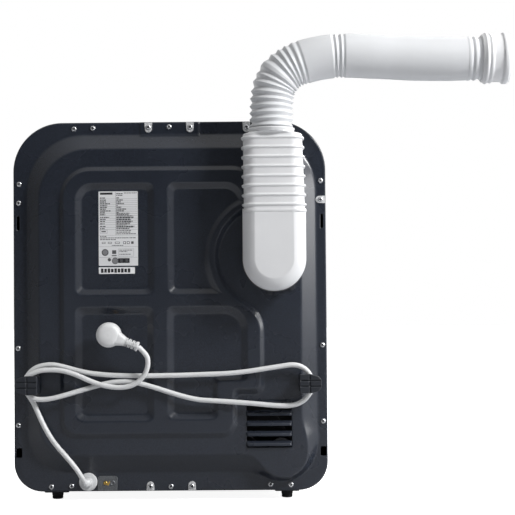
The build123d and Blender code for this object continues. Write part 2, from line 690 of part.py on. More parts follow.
# ---------------------------------------------------------------- mains plug on its lead
PLUG = Vector(91.5, 217.0, 262.9)
PDIR = (Vector(45.5, 217.0, 244.1) - PLUG).normalized()
with BuildPart() as power_plug:
    with BuildSketch(RY(206)):
        with Locations((-91.5, 262.9)):
            Circle(19.4)
    extrude(amount=21)
    fillet(power_plug.faces().sort_by(Axis.Y)[-1].edges(), radius=4)
    # cord outlet
    with BuildSketch(Plane(origin=PLUG + PDIR * 14, z_dir=PDIR)):
        RectangleRounded(16, 18, 5)
    with BuildSketch(Plane(origin=PLUG + PDIR * 25, z_dir=PDIR)):
        RectangleRounded(13, 14, 5)
    loft(ruled=True)
    with BuildSketch(Plane(origin=PLUG + PDIR * 25, z_dir=PDIR)):
        Circle(6.8)
    with BuildSketch(Plane(origin=Vector(45.5, 217.0, 244.1) + PDIR * 3, z_dir=PDIR)):
        Circle(7.0)
    loft(ruled=True)
    # the relief stops square to the lead it closes on
    with BuildSketch(Plane(origin=Vector(45.5, 217.0, 244.1), z_dir=Vector(32.9, 217.2, 233.2) - Vector(45.5, 217.0, 244.1))):
        Rectangle(24, 24)
    extrude(amount=9, mode=Mode.SUBTRACT)
save(power_plug, "power_plug")
with BuildPart() as plug_pins:
    pin_dir = Vector(-PDIR.Z, 0, PDIR.X)
    with BuildSketch(RY(206)):
        with Locations((-91.5 - pin_dir.X * 9.5, 262.9 + pin_dir.Z * 9.5),
                       (-91.5 + pin_dir.X * 9.5, 262.9 - pin_dir.Z * 9.5)):
            Circle(2.4)
    extrude(amount=-19)
save(plug_pins, "plug_pins")

# ---------------------------------------------------------------- drum
with BuildPart() as drum_shell:
    with BuildSketch(RY(DRUM_Y0)):
        with Locations((0, Z_DRUM)):
            Circle(R_DRUM)
    extrude(amount=DRUM_Y1 - DRUM_Y0)
    with BuildSketch(RY(DRUM_Y0 + T_DRUM)):
        with Locations((0, Z_DRUM)):
            Circle(R_DRUM - T_DRUM)
    extrude(amount=DRUM_Y1 - DRUM_Y0 - 2 * T_DRUM, mode=Mode.SUBTRACT)
    with BuildSketch(RY(DRUM_Y0 - 1)):
        with Locations((0, Z_DRUM)):
            Circle(163.0)
    extrude(amount=10, mode=Mode.SUBTRACT)
    # front lip turned in along the felt
    with BuildSketch(RY(DRUM_Y0)):
        with Locations((0, Z_DRUM)):
            Circle(164.4)
            Circle(162.6, mode=Mode.SUBTRACT)
    extrude(amount=8)
    # air holes of the rear wall, round the filter
    with BuildSketch(RY(DRUM_Y1 - 5)):
        with Locations((0, Z_DRUM)):
            for rr, n in ((20, 6), (32, 10), (44, 14), (56, 18)):
                with PolarLocations(rr, n):
                    Circle(3)
    extrude(amount=10, mode=Mode.SUBTRACT)
save(drum_shell, "drum_shell")

with BuildPart() as drum_baffles:
    for k in range(3):
        a = 90 + 120 * k
        with BuildSketch(Plane(origin=(0, -112, Z_DRUM), x_dir=(cos(radians(a)), 0, sin(radians(a))),
                               z_dir=(0, 1, 0))):
            with BuildLine():
                Polyline((R_DRUM - 3.1, -22), (R_DRUM - 44, -7), (R_DRUM - 44, 7), (R_DRUM - 3.1, 22), close=True)
            make_face()
        extrude(amount=214)
save(drum_baffles, "drum_baffles")

with BuildPart() as drum_shaft:
    with BuildSketch(RY(DRUM_Y1)):
        with Locations((0, Z_DRUM)):
            Circle(30)
    extrude(amount=2.5)
    with BuildSketch(RY(DRUM_Y1 + 2.5)):
        with Locations((0, Z_DRUM)):
            Circle(8.0)
    extrude(amount=13.5)
save(drum_shaft, "drum_shaft")

# lint filter on the drum's rear wall
with BuildPart() as lint_filter:
    with BuildSketch(RY(DRUM_Y1 - T_DRUM - 16)):
        with Locations((0, Z_DRUM)):
            Circle(84)
    extrude(amount=16)
    chamfer(lint_filter.faces().sort_by(Axis.Y)[0].edges(), length=8)
    with BuildSketch(RY(DRUM_Y1 - T_DRUM - 13)):
        with Locations((0, Z_DRUM)):
            Circle(74)
    extrude(amount=13, mode=Mode.SUBTRACT)
    with BuildSketch(RY(DRUM_Y1 - 30)):
        with Locations((0, Z_DRUM)):
            for rr, n in ((30, 10), (42, 14), (54, 18), (66, 22)):
                with PolarLocations(rr, n):
                    Circle(3.2)
    extrude(amount=20, mode=Mode.SUBTRACT)
    with BuildSketch(RY(DRUM_Y1 - T_DRUM - 22)):
        with Locations((0, Z_DRUM)):
            RectangleRounded(38, 9, 3)
    extrude(amount=7)
save(lint_filter, "lint_filter")

# ---------------------------------------------------------------- motor
MX = -MOTOR_U
with BuildPart() as motor_body:
    with BuildSketch(RY(-58)):
        with Locations((MOTOR_U, MOTOR_Z)):
            Circle(43)
    extrude(amount=118)
    fillet(motor_body.edges().filter_by(GeomType.CIRCLE), radius=5)
    with BuildSketch(RY(-60)):
        with Locations((MOTOR_U, MOTOR_Z)):
            Circle(10)
    extrude(amount=124)
    with BuildSketch(RY(-65)):
        with Locations((MOTOR_U, MOTOR_Z)):
            Circle(R_SHAFT + 0.05)
    extrude(amount=135, mode=Mode.SUBTRACT)
    with BuildSketch(RY(-52)):
        with Locations((MOTOR_U, MOTOR_Z)):
            Circle(34)
    extrude(amount=106, mode=Mode.SUBTRACT)
save(motor_body, "motor_body")
with BuildPart() as motor_rotor:
    with BuildSketch(RY(-100)):
        with Locations((MOTOR_U, MOTOR_Z)):
            Circle(R_SHAFT)
    extrude(amount=280)
    with BuildSketch(RY(-35)):
        with Locations((MOTOR_U, MOTOR_Z)):
            Circle(32.5)
    extrude(amount=70)
save(motor_rotor, "motor_rotor")
BELT_Y = -88.0
FBELT_Y = 173.0
with BuildPart() as motor_pulleys:
    # flanged pulley of the drum belt
    for y0, rr, hh in ((BELT_Y - 7, R_DRUM_PULLEY + 2, 2), (BELT_Y - 5, R_DRUM_PULLEY, 10), (BELT_Y + 5, R_DRUM_PULLEY + 2, 2),
                       (FBELT_Y - 5, R_FAN_PULLEY_SMALL, 10)):
        with BuildSketch(RY(y0)):
            with Locations((MOTOR_U, MOTOR_Z)):
                Circle(rr)
                Circle(R_SHAFT, mode=Mode.SUBTRACT)
        extrude(amount=hh)
save(motor_pulleys, "motor_pulleys")

# idler that tensions the drum belt
IDL_U, IDL_Z, IDL_R = 121.0, 71.0, 14.0
IDP_U, IDP_Z = 88.0, 44.0
with BuildPart() as idler_pulley:
    with BuildSketch(RY(BELT_Y - 6)):
        with Locations((IDL_U, IDL_Z)):
            Circle(IDL_R)
            Circle(4.05, mode=Mode.SUBTRACT)
    extrude(amount=12)
save(idler_pulley, "idler_pulley")
with BuildPart() as idler_arm:
    with BuildSketch(RY(BELT_Y + 7.5)):
        with Locations((IDL_U, IDL_Z)):
            Circle(8)
        with Locations((IDP_U, IDP_Z)):
            Circle(9)
        make_hull()
        with Locations((IDP_U, IDP_Z)):
            Circle(4.05, mode=Mode.SUBTRACT)
    extrude(amount=4)
    with BuildSketch(RY(BELT_Y - 7)):
        with Locations((IDL_U, IDL_Z)):
            Circle(4.0)
    extrude(amount=15)
save(idler_arm, "idler_arm")
# pressed brackets on the base pan: the motor's cradle and the idler's post
with BuildPart() as base_brackets:
    with BuildSketch(Plane.XY.offset(18)):
        with Locations((MX, 0)):
            Rectangle(30, 112)
    extrude(amount=3)
    for yy in (-48, 44):
        with BuildSketch(RY(yy)):
            with Locations((MOTOR_U, 34)):
                Rectangle(30, 30)
            with Locations((MOTOR_U, MOTOR_Z)):
                Circle(43.3, mode=Mode.SUBTRACT)
        extrude(amount=4)
    with BuildSketch(RY(BELT_Y + 13)):
        with Locations((IDP_U, (18 + IDP_Z + 10) / 2)):
            Rectangle(24, IDP_Z + 10 - 18)
    extrude(amount=3)
    with BuildSketch(RY(BELT_Y + 5)):
        with Locations((IDP_U, IDP_Z)):
            Circle(4.0)
    extrude(amount=9)
    with BuildSketch(Plane.XY.offset(18)):
        with Locations((-IDP_U, BELT_Y + 26)):
            Rectangle(24, 26)
    extrude(amount=2)
save(base_brackets, "base_brackets")

# belts, with running room round every pulley
BELT_GAP = 0.35
with BuildPart() as drum_belt:
    with BuildSketch(RY(BELT_Y - 4)):
        with Locations((0, Z_DRUM)):
            Circle(R_DRUM + BELT_GAP + 1.8)
        with Locations((MOTOR_U, MOTOR_Z)):
            Circle(R_DRUM_PULLEY + BELT_GAP + 1.8)
        with Locations((IDL_U, IDL_Z)):
            Circle(IDL_R + BELT_GAP + 1.8)
        make_hull()
    extrude(amount=8)
    with BuildSketch(RY(BELT_Y - 5)):
        with Locations((0, Z_DRUM)):
            Circle(R_DRUM + BELT_GAP)
        with Locations((MOTOR_U, MOTOR_Z)):
            Circle(R_DRUM_PULLEY + BELT_GAP)
        with Locations((IDL_U, IDL_Z)):
            Circle(IDL_R + BELT_GAP)
        make_hull()
    extrude(amount=10, mode=Mode.SUBTRACT)
save(drum_belt, "drum_belt")
with BuildPart() as fan_belt:
    with BuildSketch(RY(FBELT_Y - 3.5)):
        with Locations((0, Z_DRUM)):
            Circle(R_FAN_PULLEY + BELT_GAP + 2.4)
        with Locations((MOTOR_U, MOTOR_Z)):
            Circle(R_FAN_PULLEY_SMALL + BELT_GAP + 2.4)
        make_hull()
    extrude(amount=7)
    with BuildSketch(RY(FBELT_Y - 5)):
        with Locations((0, Z_DRUM)):
            Circle(R_FAN_PULLEY + BELT_GAP)
        with Locations((MOTOR_U, MOTOR_Z)):
            Circle(R_FAN_PULLEY_SMALL + BELT_GAP)
        make_hull()
    extrude(amount=10, mode=Mode.SUBTRACT)
save(fan_belt, "fan_belt")

# ---------------------------------------------------------------- fan
with BuildPart() as fan_impeller:
    with BuildSketch(RY(153)):
        with Locations((0, Z_DRUM)):
            Circle(R_FAN)
            Circle(6, mode=Mode.SUBTRACT)
    extrude(amount=2)
    with BuildSketch(RY(140)):
        with Locations((0, Z_DRUM)):
            Circle(20)
            Circle(6, mode=Mode.SUBTRACT)
    extrude(amount=13.5)
    with BuildSketch(RY(134)):
        with Locations((0, Z_DRUM)):
            with PolarLocations(98, 16):
                Rectangle(76, 2.2, rotation=18)
    extrude(amount=19.5)
save(fan_impeller, "fan_impeller")
with BuildPart() as fan_shaft:
    with BuildSketch(RY(136)):
        with Locations((0, Z_DRUM)):
            Circle(6)
    extrude(amount=44)
save(fan_shaft, "fan_shaft")
with BuildPart() as fan_pulley:
    with BuildSketch(RY(FBELT_Y - 5)):
        with Locations((0, Z_DRUM)):
            Circle(R_FAN_PULLEY)
            Circle(6, mode=Mode.SUBTRACT)
            with PolarLocations(26, 5):
                Circle(7, mode=Mode.SUBTRACT)
    extrude(amount=10)
save(fan_pulley, "fan_pulley")

# ---------------------------------------------------------------- heater and electrics
with BuildPart() as heater_housing:
    with BuildSketch(FY(-150)):
        with Locations((140, 85)):
            Rectangle(120, 80)
    extrude(amount=34)
    with BuildSketch(FY(-149)):
        with Locations((140, 85)):
            Rectangle(117, 77)
    extrude(amount=33.5, mode=Mode.SUBTRACT)
    with BuildSketch(FY(-150)):
        with Locations((140, 46)):
            Rectangle(90, 8)
    extrude(amount=30, mode=Mode.SUBTRACT)
save(heater_housing, "heater_housing")
with BuildPart() as ptc_heater:
    with BuildSketch(FY(-154)):
        with Locations((140, 88)):
            Rectangle(104, 40)
    extrude(amount=22)
    with BuildSketch(FY(-150)):
        with Locations((140, 88)):
            with GridLocations(8, 0, 12, 1):
                Rectangle(5.6, 32, mode=Mode.ADD)
    extrude(amount=40, mode=Mode.SUBTRACT)
save(ptc_heater, "ptc_heater")
with BuildPart() as thermostat:
    with BuildSketch(Plane.XY.offset(125)):
        with Locations((140, -167)):
            Circle(9)
    extrude(amount=7)
    with BuildSketch(Plane.XY.offset(132)):
        with Locations((136, -167), (144, -167)):
            Rectangle(0.8, 6)
    extrude(amount=7)
save(thermostat, "thermostat")
with BuildPart() as run_capacitor:
    with BuildSketch(Plane.XY.offset(18)):
        with Locations((60, 90)):
            Circle(19)
    extrude(amount=62)
    fillet(run_capacitor.faces().sort_by(Axis.Z)[-1].edges(), radius=2)
save(run_capacitor, "run_capacitor")

# ---------------------------------------------------------------- controls
with BuildPart() as control_panel:
    with BuildSketch(FY(-190)):
        with Locations((0, 543)):
            RectangleRounded(404, 72, 26)
        with Locations((150, 543), (82, 543)):
            Circle(5, mode=Mode.SUBTRACT)
        with Locations((20, 543)):
            Circle(4, mode=Mode.SUBTRACT)
    extrude(amount=5)
    chamfer(control_panel.faces().sort_by(Axis.Y)[0].outer_wire().edges(), length=1.5)
save(control_panel, "control_panel")
with BuildPart() as indicator_lens:
    with BuildSketch(FY(-186)):
        with Locations((20, 543)):
            Circle(4)
    extrude(amount=11)
    fillet(indicator_lens.faces().sort_by(Axis.Y)[0].edges(), radius=1.4)
save(indicator_lens, "indicator_lens")
with BuildPart() as timer_unit:
    with BuildSketch(FY(-152.5)):
        with Locations((150, 543)):
            RectangleRounded(58, 54, 5)
    extrude(amount=34)
    with BuildSketch(FY(-186.5)):
        with Locations((150, 543)):
            Circle(3.4)
            Circle(2.55, mode=Mode.SUBTRACT)
    extrude(amount=6)
    with BuildSketch(FY(-170)):
        with Locations((150, 543)):
            Circle(2.6)
    extrude(amount=18, mode=Mode.SUBTRACT)
save(timer_unit, "timer_unit")
with BuildPart() as mode_switch:
    with BuildSketch(FY(-156)):
        with Locations((82, 543)):
            RectangleRounded(34, 34, 4)
    extrude(amount=30.5)
    with BuildSketch(FY(-170)):
        with Locations((82, 543)):
            Circle(2.6)
    extrude(amount=18, mode=Mode.SUBTRACT)
save(mode_switch, "mode_switch")
for nm, kx, kr, kh in (("timer_knob", 150, 24, 19), ("mode_knob", 82, 16, 16)):
    with BuildPart() as knob:
        with BuildSketch(FY(-195.4)):
            with Locations((kx, 543)):
                Circle(kr)
        extrude(amount=kh, taper=4)
        fillet(knob.faces().sort_by(Axis.Y)[0].edges(), radius=2)
        with BuildSketch(FY(-195.4 - kh + 5)):
            with Locations((kx - kr * 0.62, 543), (kx + kr * 0.62, 543)):
                Rectangle(kr * 0.62, kr * 1.9)
        extrude(amount=8, mode=Mode.SUBTRACT)
        with BuildSketch(FY(-171)):
            with Locations((kx, 543)):
                Circle(2.5)
        extrude(amount=26)
    save(knob, nm)
    print(nm, "solids", len(knob.part.solids()))

# ---------------------------------------------------------------- door
with BuildPart() as door_frame:
    with BuildSketch(FY(-191)):
        with Locations((0, Z_DRUM)):
            Circle(DOOR_R)
    extrude(amount=22)
    fillet(door_frame.faces().sort_by(Axis.Y)[0].edges(), radius=10)
    with BuildSketch(FY(-189)):
        with Locations((0, Z_DRUM)):
            Circle(DOOR_R - 3)
    extrude(amount=10, mode=Mode.SUBTRACT)
    with BuildSketch(FY(-189)):
        with Locations((0, Z_DRUM)):
            Circle(116)
    extrude(amount=30, mode=Mode.SUBTRACT)
    # finger recess of the handle, undercut at its inner side
    with BuildSketch(FY(-203)):
        with Locations((149, Z_DRUM)):
            RectangleRounded(20, 70, 8)
    extrude(amount=20, mode=Mode.SUBTRACT)
    with BuildSketch(FY(-203)):
        with Locations((143, Z_DRUM)):
            RectangleRounded(20, 62, 8)
    extrude(amount=5, mode=Mode.SUBTRACT)
    # pocket of the hinge leaf
    with BuildSketch(Plane.XY.offset(Z_DRUM - 28.1)):
        with Locations((-170, -203.2)):
            Rectangle(22.2, 3.8)
    extrude(amount=56.2, mode=Mode.SUBTRACT)
save(door_frame, "door_frame")
with BuildPart() as door_window:
    with BuildSketch(FY(-199)):
        with Locations((0, Z_DRUM)):
            Circle(115.8)
    extrude(amount=9)
    with BuildSketch(FY(-199)):
        with Locations((0, Z_DRUM)):
            Circle(112)
    extrude(amount=-24, taper=12)
    with BuildSketch(FY(-203)):
        with Locations((0, Z_DRUM)):
            Circle(108)
    extrude(amount=-25, taper=12, mode=Mode.SUBTRACT)
save(door_window, "door_window")
with BuildPart() as door_inner_ring:
    with BuildSketch(FY(-199)):
        with Locations((0, Z_DRUM)):
            Circle(DOOR_R - 3.5)
            Circle(113, mode=Mode.SUBTRACT)
    extrude(amount=-7.8)
    with BuildSketch(FY(-191.2)):
        with Locations((0, Z_DRUM)):
            Circle(145)
            Circle(113, mode=Mode.SUBTRACT)
    extrude(amount=-18)
    with BuildSketch(FY(-199.5)):
        with Locations((163, Z_DRUM)):
            Rectangle(4.2, 12.2)
    extrude(amount=-9, mode=Mode.SUBTRACT)
save(door_inner_ring, "door_inner_ring")
with BuildPart() as door_strike:
    with BuildSketch(FY(-199)):
        with Locations((163, Z_DRUM)):
            Rectangle(4, 12)
    extrude(amount=-22)
    with BuildSketch(FY(-180)):
        with Locations((161.5, Z_DRUM)):
            Rectangle(3, 12)
    extrude(amount=-3)
save(door_strike, "door_strike")
with BuildPart() as door_catch:
    with BuildSketch(FY(-164.5)):
        with Locations((167.5, Z_DRUM)):
            Rectangle(18, 42)
    extrude(amount=23)
    with BuildSketch(FY(-170)):
        with Locations((163, Z_DRUM)):
            Rectangle(10, 22)
    extrude(amount=20, mode=Mode.SUBTRACT)
save(door_catch, "door_catch")
with BuildPart() as door_hinge_bracket:
    with BuildSketch(FY(-190)):
        with Locations((-197, Z_DRUM)):
            RectangleRounded(22, 116, 4)
    extrude(amount=2.5)
    for zc in (Z_DRUM - 38, Z_DRUM + 38):
        with BuildSketch(Plane.XY.offset(zc - 9)):
            with Locations((HINGE_X, HINGE_Y)):
                Circle(6.5)
            with Locations((HINGE_X - 5, -196.6)):
                Rectangle(10, 9)
            with Locations((HINGE_X - 3, -199)):
                Rectangle(7, 12)
            with Locations((HINGE_X, HINGE_Y)):
                Circle(3.0, mode=Mode.SUBTRACT)
        extrude(amount=18)
save(door_hinge_bracket, "door_hinge_bracket")
with BuildPart() as hinge_pin:
    with BuildSketch(Plane.XY.offset(Z_DRUM - 49)):
        with Locations((HINGE_X, HINGE_Y)):
            Circle(3.0)
    extrude(amount=98)
    with BuildSketch(Plane.XY.offset(Z_DRUM + 47.2)):
        with Locations((HINGE_X, HINGE_Y)):
            Circle(4.6)
    extrude(amount=3)
save(hinge_pin, "hinge_pin")
with BuildPart() as door_hinge_leaf:
    with BuildSketch(Plane.XY.offset(Z_DRUM - 28)):
        with Locations((HINGE_X, HINGE_Y)):
            Circle(6.5)
        with Locations((-174, -203.2)):
            Rectangle(30, 3.6)
        with Locations((HINGE_X, HINGE_Y)):
            Circle(3.05, mode=Mode.SUBTRACT)
    extrude(amount=56)
save(door_hinge_leaf, "door_hinge_leaf")

print("nodes", len(os.listdir("parts")))
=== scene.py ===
import json
import math
import bpy
import bmesh
import numpy as np
from mathutils import Vector, Matrix


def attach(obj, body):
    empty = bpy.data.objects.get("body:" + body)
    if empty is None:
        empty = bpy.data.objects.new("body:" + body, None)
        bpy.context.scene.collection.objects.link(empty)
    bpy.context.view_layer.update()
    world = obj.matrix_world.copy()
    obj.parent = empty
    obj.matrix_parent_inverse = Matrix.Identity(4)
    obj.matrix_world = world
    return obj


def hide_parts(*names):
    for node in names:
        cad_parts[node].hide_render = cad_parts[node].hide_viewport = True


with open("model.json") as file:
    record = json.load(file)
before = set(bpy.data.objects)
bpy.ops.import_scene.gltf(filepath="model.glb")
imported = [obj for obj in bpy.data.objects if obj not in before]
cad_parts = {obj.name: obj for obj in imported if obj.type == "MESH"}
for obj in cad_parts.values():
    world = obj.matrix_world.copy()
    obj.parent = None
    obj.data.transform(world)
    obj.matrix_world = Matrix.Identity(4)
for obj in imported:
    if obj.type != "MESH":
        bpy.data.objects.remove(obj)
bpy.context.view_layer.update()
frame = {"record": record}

D = bpy.data
SCN = bpy.context.scene
MM = 0.001

# =====================================================================
# materials
# =====================================================================


def nodes_of(name):
    m = D.materials.new(name)
    m.use_nodes = True
    nt = m.node_tree
    nt.nodes.clear()
    out = nt.nodes.new("ShaderNodeOutputMaterial")
    bs = nt.nodes.new("ShaderNodeBsdfPrincipled")
    nt.links.new(bs.outputs[0], out.inputs[0])
    return m, nt, bs


def coords(nt):
    tc = nt.nodes.new("ShaderNodeTexCoord")
    return tc.outputs["Object"]


def noise(nt, vec, scale, detail=2.0, rough=0.5, stretch=None, dist=0.0):
    if stretch is not None:
        mp = nt.nodes.new("ShaderNodeMapping")
        mp.inputs["Scale"].default_value = stretch
        nt.links.new(vec, mp.inputs["Vector"])
        vec = mp.outputs[0]
    n = nt.nodes.new("ShaderNodeTexNoise")
    n.inputs["Scale"].default_value = scale
    n.inputs["Detail"].default_value = detail
    n.inputs["Roughness"].default_value = rough
    n.inputs["Distortion"].default_value = dist
    nt.links.new(vec, n.inputs["Vector"])
    return n.outputs["Fac"]


def ramp(nt, fac, stops):
    r = nt.nodes.new("ShaderNodeValToRGB")
    el = r.color_ramp.elements
    while len(el) < len(stops):
        el.new(0.5)
    for e, (p, c) in zip(el, stops):
        e.position = p
        e.color = (*c, 1.0) if len(c) == 3 else c
    nt.links.new(fac, r.inputs[0])
    return r.outputs[0]


def maprange(nt, fac, a, b, lo, hi):
    m = nt.nodes.new("ShaderNodeMapRange")
    m.inputs["From Min"].default_value = a
    m.inputs["From Max"].default_value = b
    m.inputs["To Min"].default_value = lo
    m.inputs["To Max"].default_value = hi
    nt.links.new(fac, m.inputs["Value"])
    return m.outputs[0]


def math_node(nt, op, a, b):
    m = nt.nodes.new("ShaderNodeMath")
    m.operation = op
    for i, v in enumerate((a, b)):
        if isinstance(v, (int, float)):
            m.inputs[i].default_value = v
        else:
            nt.links.new(v, m.inputs[i])
    return m.outputs[0]


def bump(nt, bs, height, strength, dist):
    b = nt.nodes.new("ShaderNodeBump")
    b.inputs["Strength"].default_value = strength
    b.inputs["Distance"].default_value = dist
    nt.links.new(height, b.inputs["Height"])
    nt.links.new(b.outputs[0], bs.inputs["Normal"])


def edge_wear(nt, lo=0.52, hi=0.62):
    g = nt.nodes.new("ShaderNodeNewGeometry")
    return maprange(nt, g.outputs["Pointiness"], lo, hi, 0.0, 1.0)


def mix_col(nt, fac, a, b):
    m = nt.nodes.new("ShaderNodeMix")
    m.data_type = "RGBA"
    nt.links.new(fac, m.inputs[0])
    for sock, v in ((m.inputs[6], a), (m.inputs[7], b)):
        if isinstance(v, tuple):
            sock.default_value = (*v, 1.0)
        else:
            nt.links.new(v, sock)
    return m.outputs[2]


def paint(name, col, rough=0.42, spec=0.35, coat=0.0, dusty=0.06, peel=0.05):
    """Powder-coated sheet: orange peel, faint dust in broad clouds, softer and lighter at pressed edges."""
    m, nt, bs = nodes_of(name)
    v = coords(nt)
    cloud = noise(nt, v, 5.0, 4.0, 0.6)
    fleck = noise(nt, v, 900.0, 1.0, 0.5)
    dark = tuple(c * 0.90 for c in col)
    lite = tuple(min(1, c * (1.0 + dusty * 2) + dusty * 0.012) for c in col)
    c0 = ramp(nt, cloud, [(0.30, dark), (0.72, lite)])
    c1 = ramp(nt, fleck, [(0.44, (0.80, 0.80, 0.80)), (0.60, (1.16, 1.16, 1.18))])
    mul = nt.nodes.new("ShaderNodeMix")
    mul.data_type = "RGBA"
    mul.blend_type = "MULTIPLY"
    mul.inputs[0].default_value = 1.0
    nt.links.new(c0, mul.inputs[6])
    nt.links.new(c1, mul.inputs[7])
    wear = edge_wear(nt, 0.515, 0.60)
    worn = mix_col(nt, wear, mul.outputs[2], tuple(min(1, c * 1.5 + 0.008) for c in col))
    nt.links.new(worn, bs.inputs["Base Color"])
    nt.links.new(maprange(nt, cloud, 0.25, 0.75, rough - 0.05, rough + 0.07), bs.inputs["Roughness"])
    bs.inputs["Specular IOR Level"].default_value = spec
    bs.inputs["Coat Weight"].default_value = coat
    bs.inputs["Coat Roughness"].default_value = 0.25
    peel_n = noise(nt, v, 420.0, 2.0, 0.5)
    bump(nt, bs, peel_n, peel, 0.0006)
    return m


def plastic(name, col, rough=0.35, spec=0.5, grain=700.0, depth=0.05, cloud_amt=0.03, sss=0.0, coat=0.0):
    """Moulded plastic: fine spark-eroded grain, faint flow clouds."""
    m, nt, bs = nodes_of(name)
    v = coords(nt)
    cloud = noise(nt, v, 9.0, 3.0, 0.6)
    c0 = ramp(nt, cloud, [(0.28, tuple(c * (1 - cloud_amt) for c in col)), (0.74, tuple(min(1, c * (1 + cloud_amt)) for c in col))])
    wear = edge_wear(nt, 0.52, 0.64)
    c1 = mix_col(nt, wear, c0, tuple(min(1, c * 1.08 + 0.012) for c in col))
    nt.links.new(c1, bs.inputs["Base Color"])
    g = noise(nt, v, grain, 2.0, 0.55)
    nt.links.new(maprange(nt, g, 0.25, 0.75, rough - 0.05, rough + 0.06), bs.inputs["Roughness"])
    bs.inputs["Specular IOR Level"].default_value = spec
    bs.inputs["Coat Weight"].default_value = coat
    bs.inputs["Coat Roughness"].default_value = 0.12
    if sss > 0:
        bs.inputs["Subsurface Weight"].default_value = sss
        bs.inputs["Subsurface Radius"].default_value = (0.004, 0.004, 0.004)
        bs.inputs["Subsurface Scale"].default_value = 1.0
    bump(nt, bs, g, depth, 0.0005)
    return m


def metal(name, col, rough=0.3, brush=None, spangle=0.0, metallic=1.0, depth=0.06):
    """Bare or plated metal: directional brushing or zinc spangle, smears in the gloss."""
    m, nt, bs = nodes_of(name)
    v = coords(nt)
    smear = noise(nt, v, 14.0, 4.0, 0.65)
    c0 = ramp(nt, smear, [(0.25, tuple(c * 0.86 for c in col)), (0.75, tuple(min(1, c * 1.06) for c in col))])
    base = c0
    if spangle > 0:
        vo = nt.nodes.new("ShaderNodeTexVoronoi")
        vo.inputs["Scale"].default_value = spangle
        nt.links.new(v, vo.inputs["Vector"])
        sp = ramp(nt, vo.outputs["Color"], [(0.2, (0.82, 0.82, 0.83)), (0.8, (1.12, 1.12, 1.12))])
        mul = nt.nodes.new("ShaderNodeMix")
        mul.data_type = "RGBA"
        mul.blend_type = "MULTIPLY"
        mul.inputs[0].default_value = 0.8
        nt.links.new(c0, mul.inputs[6])
        nt.links.new(sp, mul.inputs[7])
        base = mul.outputs[2]
    nt.links.new(base, bs.inputs["Base Color"])
    bs.inputs["Metallic"].default_value = metallic
    st = brush if brush is not None else (1, 1, 1)
    g = noise(nt, v, 260.0, 3.0, 0.6, stretch=st)
    nt.links.new(maprange(nt, g, 0.2, 0.8, max(0.05, rough - 0.09), rough + 0.12), bs.inputs["Roughness"])
    bump(nt, bs, g, depth, 0.0004)
    return m


def rubber(name, col, rough=0.75):
    m, nt, bs = nodes_of(name)
    v = coords(nt)
    c = noise(nt, v, 30.0, 4.0, 0.6)
    nt.links.new(ramp(nt, c, [(0.3, tuple(x * 0.8 for x in col)), (0.75, tuple(x * 1.35 + 0.004 for x in col))]), bs.inputs["Base Color"])
    g = noise(nt, v, 500.0, 3.0, 0.6)
    nt.links.new(maprange(nt, g, 0.2, 0.8, rough - 0.1, rough + 0.1), bs.inputs["Roughness"])
    bs.inputs["Specular IOR Level"].default_value = 0.3
    bump(nt, bs, g, 0.12, 0.0006)
    return m


def felt_mat(name, col):
    m, nt, bs = nodes_of(name)
    v = coords(nt)
    c = noise(nt, v, 180.0, 6.0, 0.75)
    nt.links.new(ramp(nt, c, [(0.3, tuple(x * 0.6 for x in col)), (0.7, tuple(min(1, x * 1.2) for x in col))]), bs.inputs["Base Color"])
    bs.inputs["Roughness"].default_value = 0.95
    bs.inputs["Sheen Weight"].default_value = 0.4
    bump(nt, bs, noise(nt, v, 900.0, 5.0, 0.8), 0.6, 0.001)
    return m


def glass(name, col, rough=0.04):
    m, nt, bs = nodes_of(name)
    v = coords(nt)
    c = noise(nt, v, 12.0, 3.0, 0.6)
    nt.links.new(ramp(nt, c, [(0.3, tuple(x * 0.94 for x in col)), (0.7, col)]), bs.inputs["Base Color"])
    nt.links.new(maprange(nt, c, 0.3, 0.7, rough, rough + 0.05), bs.inputs["Roughness"])
    bs.inputs["Transmission Weight"].default_value = 0.92
    bs.inputs["IOR"].default_value = 1.47
    bump(nt, bs, noise(nt, v, 3.0, 2.0, 0.5), 0.02, 0.002)
    return m


M = {}
M["cabinet"] = paint("cabinet_paint", (0.0195, 0.0240, 0.0345), rough=0.27, spec=0.58)
M["front"] = plastic("front_plastic", (0.026, 0.029, 0.038), rough=0.38, spec=0.45, grain=650, depth=0.06)
M["fascia"] = plastic("fascia_gloss", (0.008, 0.009, 0.012), rough=0.12, spec=0.5, grain=300, depth=0.01, coat=0.6)
M["white"] = plastic("white_plastic", (0.72, 0.725, 0.735), rough=0.34, spec=0.45, grain=900, depth=0.03, sss=0.0)
M["hose"] = plastic("hose_plastic", (0.64, 0.65, 0.665), rough=0.5, spec=0.35, grain=500, depth=0.05, cloud_amt=0.04)
M["grey"] = plastic("grey_plastic", (0.40, 0.41, 0.42), rough=0.5, spec=0.4, grain=700, depth=0.08, cloud_amt=0.06)
M["gland"] = plastic("gland_plastic", (0.70, 0.71, 0.72), rough=0.42, spec=0.45, grain=600, depth=0.1, cloud_amt=0.08)
M["black"] = plastic("black_plastic", (0.020, 0.023, 0.030), rough=0.45, spec=0.4, grain=600, depth=0.08, cloud_amt=0.1)
M["cord"] = plastic("cord_pvc", (0.72, 0.725, 0.73), rough=0.38, spec=0.45, grain=420, depth=0.05, cloud_amt=0.04)
M["zinc"] = metal("galvanised_sheet", (0.40, 0.41, 0.42), rough=0.42, spangle=260.0)
M["screw"] = metal("zinc_bright", (0.74, 0.75, 0.77), rough=0.24, depth=0.04)
M["earthplate"] = metal("earth_plate_zinc", (0.20, 0.21, 0.22), rough=0.5, spangle=500.0, metallic=0.8, depth=0.12)
# painted shade: a dark metal standing for the shade in the cross recess of the bright zinc heads
M["recess"] = metal("screw_recess_painted_shade", (0.10, 0.102, 0.108), rough=0.5, metallic=0.6)
M["tab"] = metal("tab_plating", (0.78, 0.785, 0.79), rough=0.45, spangle=420.0, metallic=0.35)
